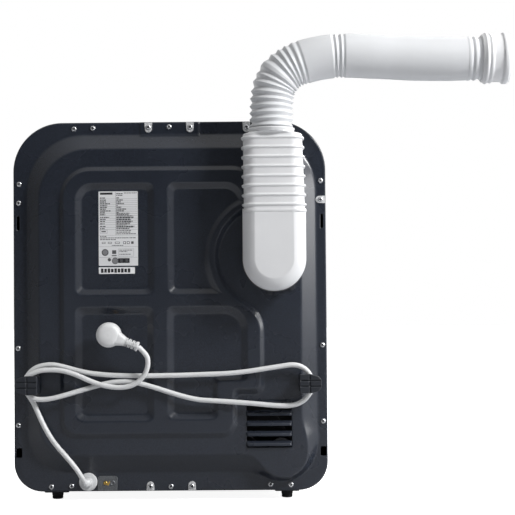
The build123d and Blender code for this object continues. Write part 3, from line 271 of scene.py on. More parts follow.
M["brass"] = metal("brass_plain", (0.62, 0.42, 0.12), rough=0.32)
M["drum"] = metal("drum_steel", (0.60, 0.61, 0.62), rough=0.32, brush=(1.0, 0.12, 1.0), depth=0.015)
M["motor"] = paint("motor_paint", (0.05, 0.052, 0.056), rough=0.5)
M["alloy"] = metal("alloy_cast", (0.52, 0.53, 0.54), rough=0.38)
M["rubber"] = rubber("rubber_black", (0.018, 0.018, 0.02))
M["seal"] = rubber("seal_grey", (0.10, 0.105, 0.11), rough=0.6)
M["felt"] = felt_mat("pressed_felt", (0.34, 0.33, 0.30))
M["glass"] = glass("window_glass", (0.75, 0.80, 0.84))
M["lens"] = glass("lens_green", (0.10, 0.65, 0.25), rough=0.12)
M["label"] = plastic("label_film", (0.74, 0.745, 0.755), rough=0.36, spec=0.45, grain=300, depth=0.02, cloud_amt=0.05)
M["label_white"] = plastic("label_film_white", (0.86, 0.865, 0.87), rough=0.36, spec=0.45, grain=300, depth=0.02, cloud_amt=0.04)
M["label_ink"] = plastic("label_ink", (0.012, 0.0125, 0.014), rough=0.4, spec=0.4, grain=900, depth=0.02, cloud_amt=0.15)
M["label_mark"] = plastic("label_fine_print", (0.070, 0.071, 0.075), rough=0.4, spec=0.4, grain=900, depth=0.02, cloud_amt=0.2)
M["label_rule"] = plastic("label_rules", (0.20, 0.202, 0.21), rough=0.4, spec=0.4, grain=900, depth=0.02, cloud_amt=0.1)
M["label_block"] = plastic("label_block", (0.006, 0.0065, 0.009), rough=0.4, spec=0.4, grain=900, depth=0.02, cloud_amt=0.1)
M["yellow"] = plastic("yellow_print", (0.58, 0.36, 0.045), rough=0.45, spec=0.4, grain=900, depth=0.02)
M["collar"] = plastic("collar_plastic", (0.075, 0.077, 0.082), rough=0.46, spec=0.4, grain=600, depth=0.08, cloud_amt=0.1)
# painted shade: a near-black stand-in for the dark inside the cabinet, seen through the louvres and slots
M["inside"] = paint("interior_painted_shade", (0.012, 0.0125, 0.014), rough=0.6, spec=0.2)
M["print"] = plastic("panel_print", (0.55, 0.56, 0.58), rough=0.45, spec=0.3, grain=900, depth=0.02)

SLOT_MAT = {
    "cabinet_paint": "cabinet", "front_plastic": "front", "fascia_plastic": "fascia", "white_plastic": "white",
    "hose_plastic": "hose", "grey_plastic": "grey", "black_plastic": "black", "cord_pvc": "cord",
    "galvanised": "zinc", "drum_steel": "drum", "zinc_bright": "screw", "brass": "brass", "motor_paint": "motor",
    "alloy": "alloy", "rubber_black": "rubber", "seal_grey": "seal", "felt": "felt", "window_glass": "glass",
    "label_film": "label", "lens_green": "lens"}
# rear_bulkhead, base_brackets, motor and run_capacitor take the near-black interior material: painted shade, not their
# own finish
OWN = {"run_capacitor": "inside", "motor_pulleys": "motor", "fan_pulley": "motor", "earth_plate": "earthplate", "cord_gland": "gland", "door_inner_ring": "grey", "rear_bulkhead": "inside", "base_brackets": "inside",
       "motor": "inside", "drum_belt": "rubber"}

for sp in frame["record"]["subparts"]:
    o = D.objects.get(sp["node"])
    if o is None:
        continue
    key = OWN.get(sp["node"], SLOT_MAT[sp["material_slot"]])
    if not o.material_slots:
        o.data.materials.append(M[key])
    for s in o.material_slots:
        s.material = M[key]

# =====================================================================
# mesh helpers (all in metres, row frame)
# =====================================================================


def make(name, verts, faces, mat, body, smooth=True, replaces=(), angle=None):
    me = D.meshes.new(name)
    me.from_pydata([tuple(v) for v in verts], [], [tuple(f) for f in faces])
    me.validate()
    me.update()
    o = D.objects.new(name, me)
    SCN.collection.objects.link(o)
    for mm in (mat if isinstance(mat, (list, tuple)) else [mat]):
        me.materials.append(mm)
    if smooth:
        me.shade_smooth()
        if angle is not None:
            me.set_sharp_from_angle(angle=math.radians(angle))
    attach(o, body)
    if replaces:
        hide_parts(*replaces)
    return o


class Soup:
    """Collects several shapes into one mesh, each face with a material index."""

    def __init__(self):
        self.v, self.f, self.m = [], [], []

    def add(self, verts, faces, mat=0):
        n = len(self.v)
        self.v.extend([tuple(p) for p in verts])
        self.f.extend([tuple(i + n for i in f) for f in faces])
        self.m.extend([mat] * len(faces))

    def make(self, name, mats, body, smooth=True, slot=None, replaces=(), angle=35):
        o = make(name, self.v, self.f, mats, body, smooth, replaces, angle)
        me = o.data
        if len(me.polygons) == len(self.m):
            me.polygons.foreach_set("material_index", self.m)
        me.update()
        return o


def grid_faces(nu, nv, close_u=False, close_v=False, flip=False):
    f = []
    for i in range(nu if close_u else nu - 1):
        for j in range(nv if close_v else nv - 1):
            a = i * nv + j
            b = ((i + 1) % nu) * nv + j
            c = ((i + 1) % nu) * nv + (j + 1) % nv
            d = i * nv + (j + 1) % nv
            f.append((a, d, c, b) if flip else (a, b, c, d))
    return f


def rpoly(pts, radii, n=9):
    """Closed outline with rounded corners as a dense polyline (any turn sense)."""
    out = []
    k = len(pts)
    for i in range(k):
        p0, p1, p2 = (np.array(pts[(i + d) % k], float) for d in (-1, 0, 1))
        a, b = p0 - p1, p2 - p1
        la, lb = np.linalg.norm(a), np.linalg.norm(b)
        a, b = a / la, b / lb
        ang = math.acos(max(-1, min(1, float(a @ b))))
        r = radii[i]
        t = r / math.tan(ang / 2)
        s, e = p1 + a * t, p1 + b * t
        bis = (a + b) / np.linalg.norm(a + b)
        c = p1 + bis * (r / math.sin(ang / 2))
        a0 = math.atan2(*(s - c)[::-1])
        a1 = math.atan2(*(e - c)[::-1])
        da = (a1 - a0 + math.pi) % (2 * math.pi) - math.pi
        for j in range(n):
            th = a0 + da * j / (n - 1)
            out.append(c + r * np.array([math.cos(th), math.sin(th)]))
    return np.array(out)


def sdist(U, Z, poly):
    """Signed distance to a closed polyline, positive inside, for arrays of points."""
    best = np.full(U.shape, 1e9)
    inside = np.zeros(U.shape, bool)
    n = len(poly)
    for i in range(n):
        x0, y0 = poly[i]
        x1, y1 = poly[(i + 1) % n]
        dx, dy = x1 - x0, y1 - y0
        L = dx * dx + dy * dy
        if L < 1e-9:
            continue
        t = np.clip(((U - x0) * dx + (Z - y0) * dy) / L, 0, 1)
        d2 = (U - x0 - t * dx) ** 2 + (Z - y0 - t * dy) ** 2
        np.minimum(best, d2, out=best)
        if y0 != y1:
            cond = ((y0 > Z) != (y1 > Z)) & (U < (x1 - x0) * (Z - y0) / (y1 - y0) + x0)
            inside ^= cond
    d = np.sqrt(best)
    return np.where(inside, d, -d)


def soft_ramp(t, e):
    """0 to 1 with straight middle and rounded ends of relative size e."""
    t = np.asarray(t, float)
    k = 1.0 / (1.0 - 0.0)
    out = np.clip(t, 0, 1) * k
    lo = (t > -e) & (t < e)
    out = np.where(lo, (t + e) ** 2 / (4 * e), out)
    hi = (t > 1 - e) & (t < 1 + e)
    out = np.where(hi, 1 - (1 - t + e) ** 2 / (4 * e), out)
    out = np.where(t <= -e, 0, out)
    out = np.where(t >= 1 + e, 1, out)
    return out


def stage_d(dA, dB, width, rnd):
    w = np.maximum(dA, 0) + np.maximum(-dB, 0)
    w = np.where(w < 1e-6, width, w)
    t = np.where(dB > 0, 1 + dB / width, np.where(dA < 0, dA / width, np.maximum(dA, 0) / w))
    return soft_ramp(t, rnd / width)


def stage_h(U, Z, outer, inner, width, rnd):
    return stage_d(sdist(U, Z, outer), sdist(U, Z, inner), width, rnd)


def smax(a, b, k):
    """The larger of two distances, blended where they are within k of each other."""
    h = np.maximum(k - np.abs(a - b), 0) / k
    return np.maximum(a, b) + h * h * k * 0.25


def relief(name, us, zs, F, H, y0, mat, body, thick=1.2, replaces=(), to_row=None, smooth_angle=None,
           back=False):
    """Sheet over the region F > 0 of a grid, standing H high: boundary vertices slide onto F = 0."""
    U, Z = np.meshgrid(us, zs, indexing="ij")
    step = us[1] - us[0]
    gu, gz = np.gradient(F, us, zs)
    g2 = np.maximum(gu ** 2 + gz ** 2, 0.25)
    snap = np.abs(F) < 0.5 * step
    U2 = np.where(snap, U - F * gu / g2, U)
    Z2 = np.where(snap, Z - F * gz / g2, Z)
    ok = F > -0.5 * step
    nu, nz = U.shape
    idx = -np.ones(U.shape, int)
    used = np.zeros(U.shape, bool)
    quads, tris = [], []
    o00, o10, o11, o01 = ok[:-1, :-1], ok[1:, :-1], ok[1:, 1:], ok[:-1, 1:]
    cnt = o00.astype(int) + o10 + o11 + o01
    for i, j in zip(*np.where(cnt == 4)):
        quads.append(((i, j), (i + 1, j), (i + 1, j + 1), (i, j + 1)))
    for i, j in zip(*np.where(cnt == 3)):
        c = [(i, j), (i + 1, j), (i + 1, j + 1), (i, j + 1)]
        tris.append(tuple(p for p in c if ok[p]))
    k = 0
    verts = []
    faces = []
    lookup = {}
    for fc in quads + tris:
        ids = []
        for p in fc:
            q = lookup.get(p)
            if q is None:
                q = len(verts)
                lookup[p] = q
                verts.append((U2[p], Z2[p], H[p]))
            ids.append(q)
        faces.append(tuple(ids))
    # skirt along the free edges
    cntr = {}
    for f in faces:
        for a, b in zip(f, f[1:] + f[:1]):
            key = (min(a, b), max(a, b))
            cntr.setdefault(key, []).append((a, b))
    low = {}
    for key, es in cntr.items():
        if len(es) == 1:
            a, b = es[0]
            ids = []
            for p in (a, b):
                if p not in low:
                    low[p] = len(verts)
                    u, z, h = verts[p]
                    verts.append((u, z, h - thick))
                ids.append(low[p])
            faces.append((b, a, ids[0], ids[1]))
    if to_row is None:
        row = [(-u * MM, (y0 + h) * MM, z * MM) for u, z, h in verts]
    else:
        row = [to_row(u, z, y0 + h) for u, z, h in verts]
    return make(name, row, faces, mat, body, True, replaces, smooth_angle)


def frames_along(pts):
    """Parallel-transport frames along a polyline."""
    P = np.array(pts, float)
    T = np.gradient(P, axis=0)
    T /= np.linalg.norm(T, axis=1)[:, None]
    n = np.cross(T[0], [0, 1, 0])
    if np.linalg.norm(n) < 1e-3:
        n = np.cross(T[0], [1, 0, 0])
    n /= np.linalg.norm(n)
    N = [n]
    for i in range(1, len(P)):
        v = N[-1] - T[i] * (N[-1] @ T[i])
        N.append(v / np.linalg.norm(v))
    N = np.array(N)
    B = np.cross(T, N)
    return P, T, N, B


def tube(pts, radius, seg=24, cap=True):
    """Skin of revolution along a path; radius is a number or an array per point (or per point and angle)."""
    P, T, N, B = frames_along(pts)
    n = len(P)
    a = np.linspace(0, 2 * math.pi, seg, endpoint=False)
    R = np.asarray(radius, float)
    if R.ndim == 0:
        R = np.full((n, seg), float(R))
    elif R.ndim == 1:
        R = np.repeat(R[:, None], seg, 1)
    V = (P[:, None, :] + R[:, :, None] * (np.cos(a)[None, :, None] * N[:, None, :] + np.sin(a)[None, :, None] * B[:, None, :]))
    verts = V.reshape(-1, 3).tolist()
    faces = grid_faces(n, seg, close_v=True)
    if cap:
        for end, flip in ((0, False), (n - 1, True)):
            c = len(verts)
            verts.append(P[end].tolist())
            for j in range(seg):
                p, q = end * seg + j, end * seg + (j + 1) % seg
                faces.append((c, p, q) if flip else (c, q, p))
    return verts, faces


def lathe(profile, origin, axis, seg=64, closed=False):
    """Turns a profile of (radius, height) pairs about an axis."""
    ax = Vector(axis).normalized()
    x = ax.orthogonal().normalized()
    y = ax.cross(x)
    o = Vector(origin)
    verts = []
    for r, h in profile:
        for j in range(seg):
            t = 2 * math.pi * j / seg
            p = o + ax * h + (x * math.cos(t) + y * math.sin(t)) * r
            verts.append(p)
    return verts, grid_faces(len(profile), seg, close_u=closed, close_v=True)


def nurbs_line(name, pts, resolution=12):
    """A curve with one smooth open spline through the route's control points."""
    cu = D.curves.new(name, "CURVE")
    cu.dimensions = "3D"
    sp = cu.splines.new("NURBS")
    sp.points.add(len(pts) - 1)
    for p, q in zip(sp.points, pts):
        p.co = (q[0], q[1], q[2], 1.0)
    sp.order_u = 3
    sp.use_endpoint_u = True
    sp.resolution_u = resolution
    o = D.objects.new(name, cu)
    return o


def read_line(curve_obj):
    me = D.meshes.new_from_object(curve_obj)
    pts = [tuple(v.co) for v in me.vertices]
    D.meshes.remove(me)
    return pts


def resample(pts, step):
    P = np.array(pts, float)
    d = np.r_[0, np.cumsum(np.linalg.norm(np.diff(P, axis=0), axis=1))]
    n = max(2, int(round(d[-1] / step)) + 1)
    s = np.linspace(0, d[-1], n)
    return np.stack([np.interp(s, d, P[:, k]) for k in range(3)], 1), s


# =====================================================================
# camera
# =====================================================================
cam_d = D.cameras.new("camera")
cam = D.objects.new("camera", cam_d)
SCN.collection.objects.link(cam)
CX, CD, CZ = -0.15375, 2.315, 0.33383
YAW, PITCH, ROLL = math.radians(-0.3927), math.radians(1.2801), math.radians(-0.4664)
r = Vector((-1, 0, 0)); up = Vector((0, 0, 1)); fw = Vector((0, -1, 0))
c, s = math.cos(PITCH), math.sin(PITCH); fw, up = c * fw + s * up, c * up - s * fw
c, s = math.cos(YAW), math.sin(YAW); fw, r = c * fw + s * r, c * r - s * fw
c, s = math.cos(ROLL), math.sin(ROLL); r, up = c * r + s * up, c * up - s * r
cam.matrix_world = Matrix(((r.x, up.x, -fw.x, CX), (r.y, up.y, -fw.y, CD), (r.z, up.z, -fw.z, CZ), (0, 0, 0, 1)))
cam_d.sensor_width = 36.0
cam_d.lens = 95.0
cam_d.clip_end = 100.0
SCN.camera = cam

# =====================================================================
# mains lead
# =====================================================================
CORD = [(130.8, 176.0, 30.0), (130.8, 196.0, 30.4), (134.8, 210.8, 43.6), (143.5, 217.0, 59.0),
        (157.7, 215.3, 75.5), (172.9, 211.1, 91.1), (185.5, 205.8, 107.2), (196.9, 201.9, 127.0),
        (205.1, 198.7, 144.6), (212.2, 197.9, 160.0), (221.9, 198.0, 173.8), (226.1, 198.0, 188.1),
        (220.8, 198.0, 200.3), (210.4, 198.0, 211.2), (195.7, 198.0, 216.3), (178.3, 197.8, 217.2),
        (154.0, 197.4, 210.6), (124.4, 197.0, 202.5), (77.9, 196.8, 198.7), (13.0, 196.8, 198.2),
        (-50.0, 196.8, 199.6), (-105.4, 197.0, 201.6), (-146.3, 197.4, 207.6), (-175.7, 197.9, 212.1),
        (-195.3, 197.8, 214.7), (-210.0, 197.8, 209.7), (-219.9, 197.8, 198.9), (-223.4, 197.8, 183.7),
        (-219.0, 197.8, 168.4), (-208.6, 197.8, 156.8), (-192.3, 197.8, 150.2), (-165.9, 197.6, 150.4),
        (-128.9, 197.4, 154.6), (-73.1, 197.4, 158.6), (-40.8, 197.2, 160.7), (-4.1, 197.2, 171.2),
        (29.2, 197.2, 182.4), (60.1, 197.3, 190.0), (90.3, 198.0, 189.1), (120.2, 200.3, 181.4),
        (145.7, 203.7, 174.2), (171.1, 206.6, 166.9), (194.8, 207.8, 162.7), (212.0, 207.6, 165.3),
        (222.8, 207.6, 176.2), (224.9, 207.6, 190.2), (218.4, 207.6, 199.3), (205.3, 207.6, 207.2),
        (188.0, 207.6, 209.5), (166.9, 207.4, 208.8), (143.6, 207.4, 202.0), (118.6, 207.4, 189.9),
        (94.3, 207.4, 182.5), (73.2, 207.5, 180.8), (56.2, 208.3, 183.7), (42.4, 210.1, 193.4),
        (33.7, 212.7, 205.5), (30.4, 215.8, 220.0), (32.9, 217.2, 233.2), (45.5, 217.0, 244.1)]
CORD_R = 3.9
cord_line = nurbs_line("lead_line", [tuple(c * MM for c in p) for p in CORD], 16)
cord_pts = read_line(cord_line)
D.objects.remove(cord_line)
cord_s, _ = resample(cord_pts, 0.0035)
cv, cf = tube(cord_s, CORD_R * MM, 20)
cord_obj = make("lead", cv, cf, M["cord"], "cabinet", True, ("power_cord",), 60)

# =====================================================================
# exhaust hose
# =====================================================================
HOSE = [(-162.2, 228.0, 572.0), (-162.2, 228.0, 598.8), (-163.0, 228.0, 622.8), (-166.9, 228.0, 644.8),
        (-178.9, 228.0, 663.6), (-197.4, 228.0, 676.3), (-220.7, 228.0, 683.8), (-248.3, 228.0, 689.0),
        (-277.7, 228.0, 690.9), (-324.0, 228.0, 687.9), (-373.5, 228.0, 684.8), (-424.2, 228.0, 683.8),
        (-470.0, 228.0, 684.0), (-517.0, 228.0, 684.0)]
hose_line = nurbs_line("hose_line", [tuple(c * MM for c in p) for p in HOSE], 24)
hose_pts = read_line(hose_line)
D.objects.remove(hose_line)
hp, hs = resample(hose_pts, 0.0008)
hs_mm = hs * 1000
print("hose length", hs[-1])
FOLDS = []          # (position along the hose, width, depth)
for k in range(7):
    FOLDS.append((5.0 + 9.9 * k, 9.9, 4.2))
FOLDS += [(74, 8.6, 3.2), (82, 8.6, 3.4), (96, 9.6, 3.0), (105, 8.4, 3.2), (113, 8.0, 3.0), (121, 8.0, 2.6),
          (130, 7.0, 1.6), (181, 6.5, 2.2), (188, 7.0, 3.0), (195, 6.0, 2.0),
          (392, 6.5, 2.2), (401.5, 8.5, 3.0), (411, 8.5, 3.0)]
HR = 34.0
rad = np.full(len(hs_mm), HR - 0.3)
stretch_in = np.zeros(len(hs_mm))
for p, w, d in FOLDS:
    x = np.abs(hs_mm - p) / (w / 2)
    rad -= np.where(x < 1, d * (1 - x) ** 0.9, 0)
# slack film between the pleats draws in a little
rad -= 0.5 * np.clip(np.sin(hs_mm / 420 * math.pi * 7), 0, 1) * (hs_mm > 205) * (hs_mm < 385)
hv, hf = tube(hp, rad * MM, 96, cap=False)
n0 = len(hv)
hose_obj = make("hose", hv, hf, M["hose"], "vent", True, ("exhaust_hose",), 50)

# =====================================================================
# back panel: one pressed sheet
# =====================================================================
STEP = 1.15
us = np.arange(-249.0, 249.01, STEP)
zs = np.arange(13.5, 600.01, STEP)
U, Z = np.meshgrid(us, zs, indexing="ij")
BODY = rpoly([(-247.5, 15), (247.5, 15), (247.5, 598), (-247.5, 598)], [45, 45, 78, 78], 28)
SCREWS = [(-150.6, 588), (-120.7, 589), (-32.5, 589.5), (0.5, 590), (33.5, 589.5), (123, 589), (150, 588),
          (-238, 501), (-239, 471), (-240.5, 241), (-240.5, 119.5),
          (239.5, 503), (239.5, 473), (240.5, 243), (240.5, 123),
          (-189, 22.5), (-157, 23.5), (-32.6, 22.0), (0, 22.0), (33, 22.0), (157, 24.5), (189, 23.5)]
TABS = [(-32.5, 589.5), (33.5, 589.5), (123, 589), (239.5, 473), (-32.6, 22.0), (33, 22.0)]
VU, VZ = 165.5, 378.0
dv = np.hypot(U - 157.5, Z - 382.5)
F_body = sdist(U, Z, BODY)
F = F_body.copy()


def cut_box(F, cu, cz, w, h, r=0.8):
    qx = np.abs(U - cu) - w / 2 + r
    qz = np.abs(Z - cz) - h / 2 + r
    d = np.hypot(np.maximum(qx, 0), np.maximum(qz, 0)) + np.minimum(np.maximum(qx, qz), 0) - r
    return np.minimum(F, d)


F = np.minimum(F, np.hypot(U - VU, Z - VZ) - 44.2)
F = np.minimum(F, np.hypot(U + 130.8, Z - 30.0) - 9.1)
for cu in (-240, 241):
    F = cut_box(F, cu, 439, 4.5, 23, 2.2)
    F = cut_box(F, cu, 76, 10, 15, 1.0)
F = cut_box(F, 155.4, 121.4, 71, 73.6, 1.5)

# the field bulges round the fan belt pulley in its lower corner
d_lobe = np.hypot(U - 177, Z - 76)
dA = smax(sdist(U, Z, rpoly([(-226, 45), (232, 45), (232, 578), (-226, 578)], [66, 62, 90, 90], 22)), 45.5 - d_lobe, 26)
dB = smax(sdist(U, Z, rpoly([(-204, 74), (207, 74), (207, 554), (-204, 554)], [48, 37, 78, 78], 22)), 38.5 - d_lobe, 26)
field = stage_d(dA, dB, 23.0, 2.2)
pa = sdist(U, Z, rpoly([(-171, 100), (105.5, 100), (105.5, 168), (148.6, 168), (148.6, 526), (-171, 526)],
                       [27, 25, 6, 14, 50, 48], 14))
pb = sdist(U, Z, rpoly([(-164.5, 108), (98.6, 108), (98.6, 177), (142, 177), (142, 519), (-164.5, 519)],
                       [21, 19, 8, 8, 44, 42], 14))
# the platform's wall swings round the vent clearing in one sweep
pa = -smax(-pa, -(dv - 79.0), 36.0)
pb = -smax(-pb, -(dv - 85.6), 36.0)
plat = stage_d(pa, pb, 7.4, 1.2)
WIN = [
    ([(-146.4, 324.5), (-22.2, 324.5), (-22.2, 499.6), (-146.4, 499.6)], [10, 10, 10, 27],
     [(-136, 334), (-33, 334), (-33, 490.7), (-136, 490.7)], [7, 7, 7, 19]),
    ([(-1.4, 324.5), (119, 324.5), (119, 499.6), (-1.4, 499.6)], [10, 10, 30, 10],
     [(8.2, 334), (110, 334), (110, 490.7), (8.2, 490.7)], [7, 7, 22, 7]),
    ([(-146.8, 127.4), (-24.1, 127.4), (-24.1, 305.5), (-146.8, 305.5)], [13, 10, 10, 10],
     [(-136.4, 136.6), (-34.5, 136.6), (-34.5, 294.6), (-136.4, 294.6)], [9, 7, 7, 7]),
    ([(-3.2, 129.5), (75.8, 129.5), (75.8, 189.6), (122.8, 189.6), (122.8, 305.5), (-3.2, 305.5)],
     [10, 10, 6, 10, 35, 10],
     [(7.2, 138.3), (68.7, 138.3), (68.7, 195.8), (112.5, 195.8), (112.5, 294.6), (7.2, 294.6)], [7, 7, 7, 7, 27, 7]),
]
win = np.zeros(U.shape)
for k, (a, ra, b, rb) in enumerate(WIN):
    w = stage_h(U, Z, rpoly(a, ra, 10), rpoly(b, rb, 10), 9.8, 1.2)
    if k == 1:
        w = np.minimum(w, soft_ramp((dv - 94.0) / 7.5, 0.2))
    win = np.maximum(win, w)
H = 20.0 * field + 6.0 * plat - 6.0 * win * (plat > 0.5)
# raised land in the middle of the top flange
land = soft_ramp(np.minimum(np.minimum((U + 47.5) / 3.0, (49.5 - U) / 3.0), (Z - 574.0) / 3.0), 0.3)
H = np.maximum(H, H + 1.6 * land * (1 - field))
# the cut edge is rolled back a little
H -= 1.1 * np.clip(1 - F_body / 2.6, 0, 1) ** 2
panel = relief("back_sheet", us, zs, F, H, 165.0, M["cabinet"], "cabinet", 1.2, ("rear_panel",))

# louvres: five hoods standing out of the opening, open below
LOUV = Soup()
ends = [(0.0, 0.0), (1.2, 0.35), (3.0, 0.75), (5.2, 0.96), (8.0, 1.0)]
x0, x1 = 118.6, 191.0
prof_n = 9
for lz in (158.4, 142.2, 126.2, 110.2, 94.8):
    xs = []
    for d, k in ends:
        xs.append((x0 + d, k))
    for d, k in reversed(ends):
        xs.append((x1 - d * 0.35, k))
    rows = []
    for x, k in xs:
        prof = []
        for j in range(prof_n):
            t = j / (prof_n - 1)
            zz = lz - 7.4 * t
            yy = 184.6 - 0.4 * (1 - t) + k * 5.6 * math.sin(min(t * 1.2, 1.0) * math.pi / 2)
            prof.append((yy, zz))
        prof.append((prof[-1][0] - 0.9, prof[-1][1] - 0.5))
        for j in reversed(range(prof_n)):
            yy, zz = prof[j]
            prof.append((yy - 1.2, zz - 0.35))
        rows.append([(-x * MM, y * MM, z * MM) for y, z in prof])
    V = [p for row in rows for p in row]
    LOUV.add(V, grid_faces(len(rows), len(rows[0]), close_v=True, flip=True))
    n = len(rows[0])
    for base, flip in ((0, False), ((len(rows) - 1) * n, True)):
        f = tuple(range(base, base + n))
        LOUV.f.append(tuple(i + (len(LOUV.v) - len(V)) for i in (f if flip else reversed(f))))
        LOUV.m.append(0)
LOUV.make("louvre_hoods", [M["cabinet"]], "cabinet", True, "cabinet_paint", angle=50)

# =====================================================================
# screws, tabs
# =====================================================================
SC = Soup()
ring = [0.0, 0.45, 0.9, 1.3, 1.7, 2.1, 2.5, 3.0, 3.5, 3.9, 4.15, 4.3, 4.3]
rise = [2.5, 2.5, 2.48, 2.44, 2.38, 2.28, 2.14, 1.9, 1.5, 1.0, 0.6, 0.25, -0.1]
NS = 40
for k, (cu, cz) in enumerate(SCREWS):
    lift = 1.0 if (cu, cz) in TABS else 0.0
    if abs(cu) < 48 and cz > 580:
        lift += 1.6
    rot = 0.4 + 0.9 * k
    V = []
    for rr, hh in zip(ring, rise):
        for j in range(NS):
            t = 2 * math.pi * j / NS
            x, z = rr * math.cos(t), rr * math.sin(t)
            xr = x * math.cos(rot) + z * math.sin(rot)
            zr = -x * math.sin(rot) + z * math.cos(rot)
            dd = hh
            if rr < 1.0:
                dd = hh - 1.5
            elif rr < 2.35 and min(abs(xr), abs(zr)) < 0.62:
                dd = hh - 1.4 * (1 - rr / 3.6)
            V.append((-(cu + x) * MM, (165 + lift + dd) * MM, (cz + z) * MM))
    fcs = grid_faces(len(ring), NS, close_v=True)
    # the middle of each head, out to 1.7 mm, takes the dark recess material: painted shade in the recess
    SC.add(V, fcs[:NS * 4], 1)
    SC.add([], [], 0)
    n_ = len(SC.v) - len(V)
    SC.f.extend([tuple(i + n_ for i in f) for f in fcs[NS * 4:]])
    SC.m.extend([0] * (len(fcs) - NS * 4))
SC.make("screw_heads", [M["screw"], M["recess"]], "cabinet", True, "zinc_bright", ("rear_screws",), angle=40)


def plate(soup, outline, y0, y1, bev=0.35, mat=0, mir=True):
    """Flat plate seen from behind, its free edges rounded over."""
    n = len(outline)
    P = np.array(outline, float)
    c = P.mean(0)
    d = P - c
    L = np.linalg.norm(d, axis=1)[:, None]
    rings = [(P, y0), (P, y1 - bev), (P - d / L * bev * 0.4, y1 - bev * 0.35), (P - d / L * bev, y1)]
    V = [(-p[0] * MM, y * MM, p[1] * MM) for Q, y in rings for p in Q]
    f = grid_faces(len(rings), n, close_v=True)
    top = tuple(range((len(rings) - 1) * n, len(rings) * n))
    f.append(top)
    f.append(tuple(reversed(range(n))))
    soup.add(V, f, mat)


TB = Soup()
for cu, cz in TABS:
    w = 5.4
    lift = 1.6 if (abs(cu) < 48 and cz > 580) else 0.0
    if cz > 580:
        pts = rpoly([(cu - w, cz - 8.2), (cu + w, cz - 8.2), (cu + w + 0.8, 597.2), (cu - w - 0.8, 597.2)],
                    [6.0, 6.0, 0.6, 0.6], 9)
    elif cz < 60:
        pts = rpoly([(cu - w - 0.8, 15.8), (cu + w + 0.8, 15.8), (cu + w, cz + 8.0), (cu - w, cz + 8.0)],
                    [0.6, 0.6, 6.0, 6.0], 9)
    else:
        pts = rpoly([(cu - 8, cz - w), (246.6, cz - w - 0.6), (246.6, cz + w + 0.6), (cu - 8, cz + w)],
                    [6.0, 0.6, 0.6, 6.0], 9)
    plate(TB, pts, 165.0 + lift, 166.0 + lift, 0.3)
TB.make("edge_tabs", [M["tab"]], "cabinet", True, "zinc_bright", ("mounting_tabs",), angle=40)

# =====================================================================
# cord hooks
# =====================================================================
hs_ = 0.7
for side, nm in ((-1, "left"), (1, "right")):
    hu = np.arange(199.0, 241.0, hs_)
    hz = np.arange(167.3, 204.3, hs_)
    HU, HZ = np.meshgrid(hu, hz, indexing="ij")
    outl = rpoly([(203, 170.8), (221, 170.8), (233, 174.3), (236.5, 179.3), (236.5, 191.9), (233, 196.5), (221, 200.1),
                  (203, 200.1)], [1.2, 3, 3, 2.5, 2.5, 3, 3, 1.2], 5)
    FH = sdist(HU, HZ, outl)
    ribs = np.zeros(HU.shape)
    for lz in (190.2, 181.4):
        ribs = np.maximum(ribs, soft_ramp((1.25 - np.abs(HZ - lz)) / 0.7, 0.5))
    for lu in (218.7,):
        ribs = np.maximum(ribs, soft_ramp((1.25 - np.abs(HU - lu)) / 0.7, 0.5))
    HH = 1.0 - 1.9 * ribs * soft_ramp((FH - 1.0) / 0.8, 0.4) - 0.8 * np.clip(1 - FH / 1.2, 0, 1) ** 2
    relief("hook_face_" + nm, hu, hz, FH, HH, 216.0, M["black"], "cabinet", 3.6, (),
           to_row=lambda u, z, y, sd=side: (-sd * u * MM, y * MM, z * MM))
HK = Soup()
for side in (-1, 1):
    pts = rpoly([(side * 203, 172.3), (side * 211, 172.3), (side * 211, 198.3), (side * 203, 198.3)], [1.4] * 4, 5)
    plate(HK, pts, 184.6, 214.5, 0.4)
HK.make("hook_shanks", [M["black"]], "cabinet", True, "black_plastic", ("cord_hooks",), angle=45)

# =====================================================================
# vent elbow, turned down from the collar and up into the sleeve
# =====================================================================
EY0, EY1, RE, ZJ = 191.8, 255.0, 48.5, 451.0
sect = []                                   # (reach 0..1 of the half width, Y)
for y in np.linspace(EY0, EY1 - 17, 12):
    sect.append((RE, y))
for a in np.linspace(0, 90, 19)[1:]:
    ca, sa = math.cos(math.radians(a)), math.sin(math.radians(a))
    k = min(1.0, max(0.0, math.atan2(sa, ca) / (math.pi / 2)))
    lean = 0.42
    sect.append((RE - 19 + 19 * (ca * (1 - lean) + (1 - k) * lean), EY1 - 17 + 17 * (sa * (1 - lean) + k * lean)))
for q in (28.9, 28.0, 24, 18, 11, 5, 0):
    sect.append((q, EY1))
rays = []
for z in np.linspace(ZJ + 4, VZ, 12)[:-1]:
    rays.append((z, 180.0))
for a in np.linspace(180, 360, 73):
    rays.append((VZ, a))
for z in np.linspace(VZ, ZJ + 4, 12)[1:]:
    rays.append((z, 360.0))
V = []
for z, a in rays:
    ca, sa = math.cos(math.radians(a)), math.sin(math.radians(a))
    for rr, y in sect:
        # a small rib runs round just behind the collar joint
        extra = 0.0
        if y < EY0 + 9 and rr == RE:
            extra = 0.9 * math.exp(-((y - EY0 - 3.2) / 1.6) ** 2)
        V.append((-(VU + (rr + extra) * ca) * MM, y * MM, (z + (rr + extra) * sa) * MM))
EL = Soup()
EL.add(V, grid_faces(len(rays), len(sect), flip=False))
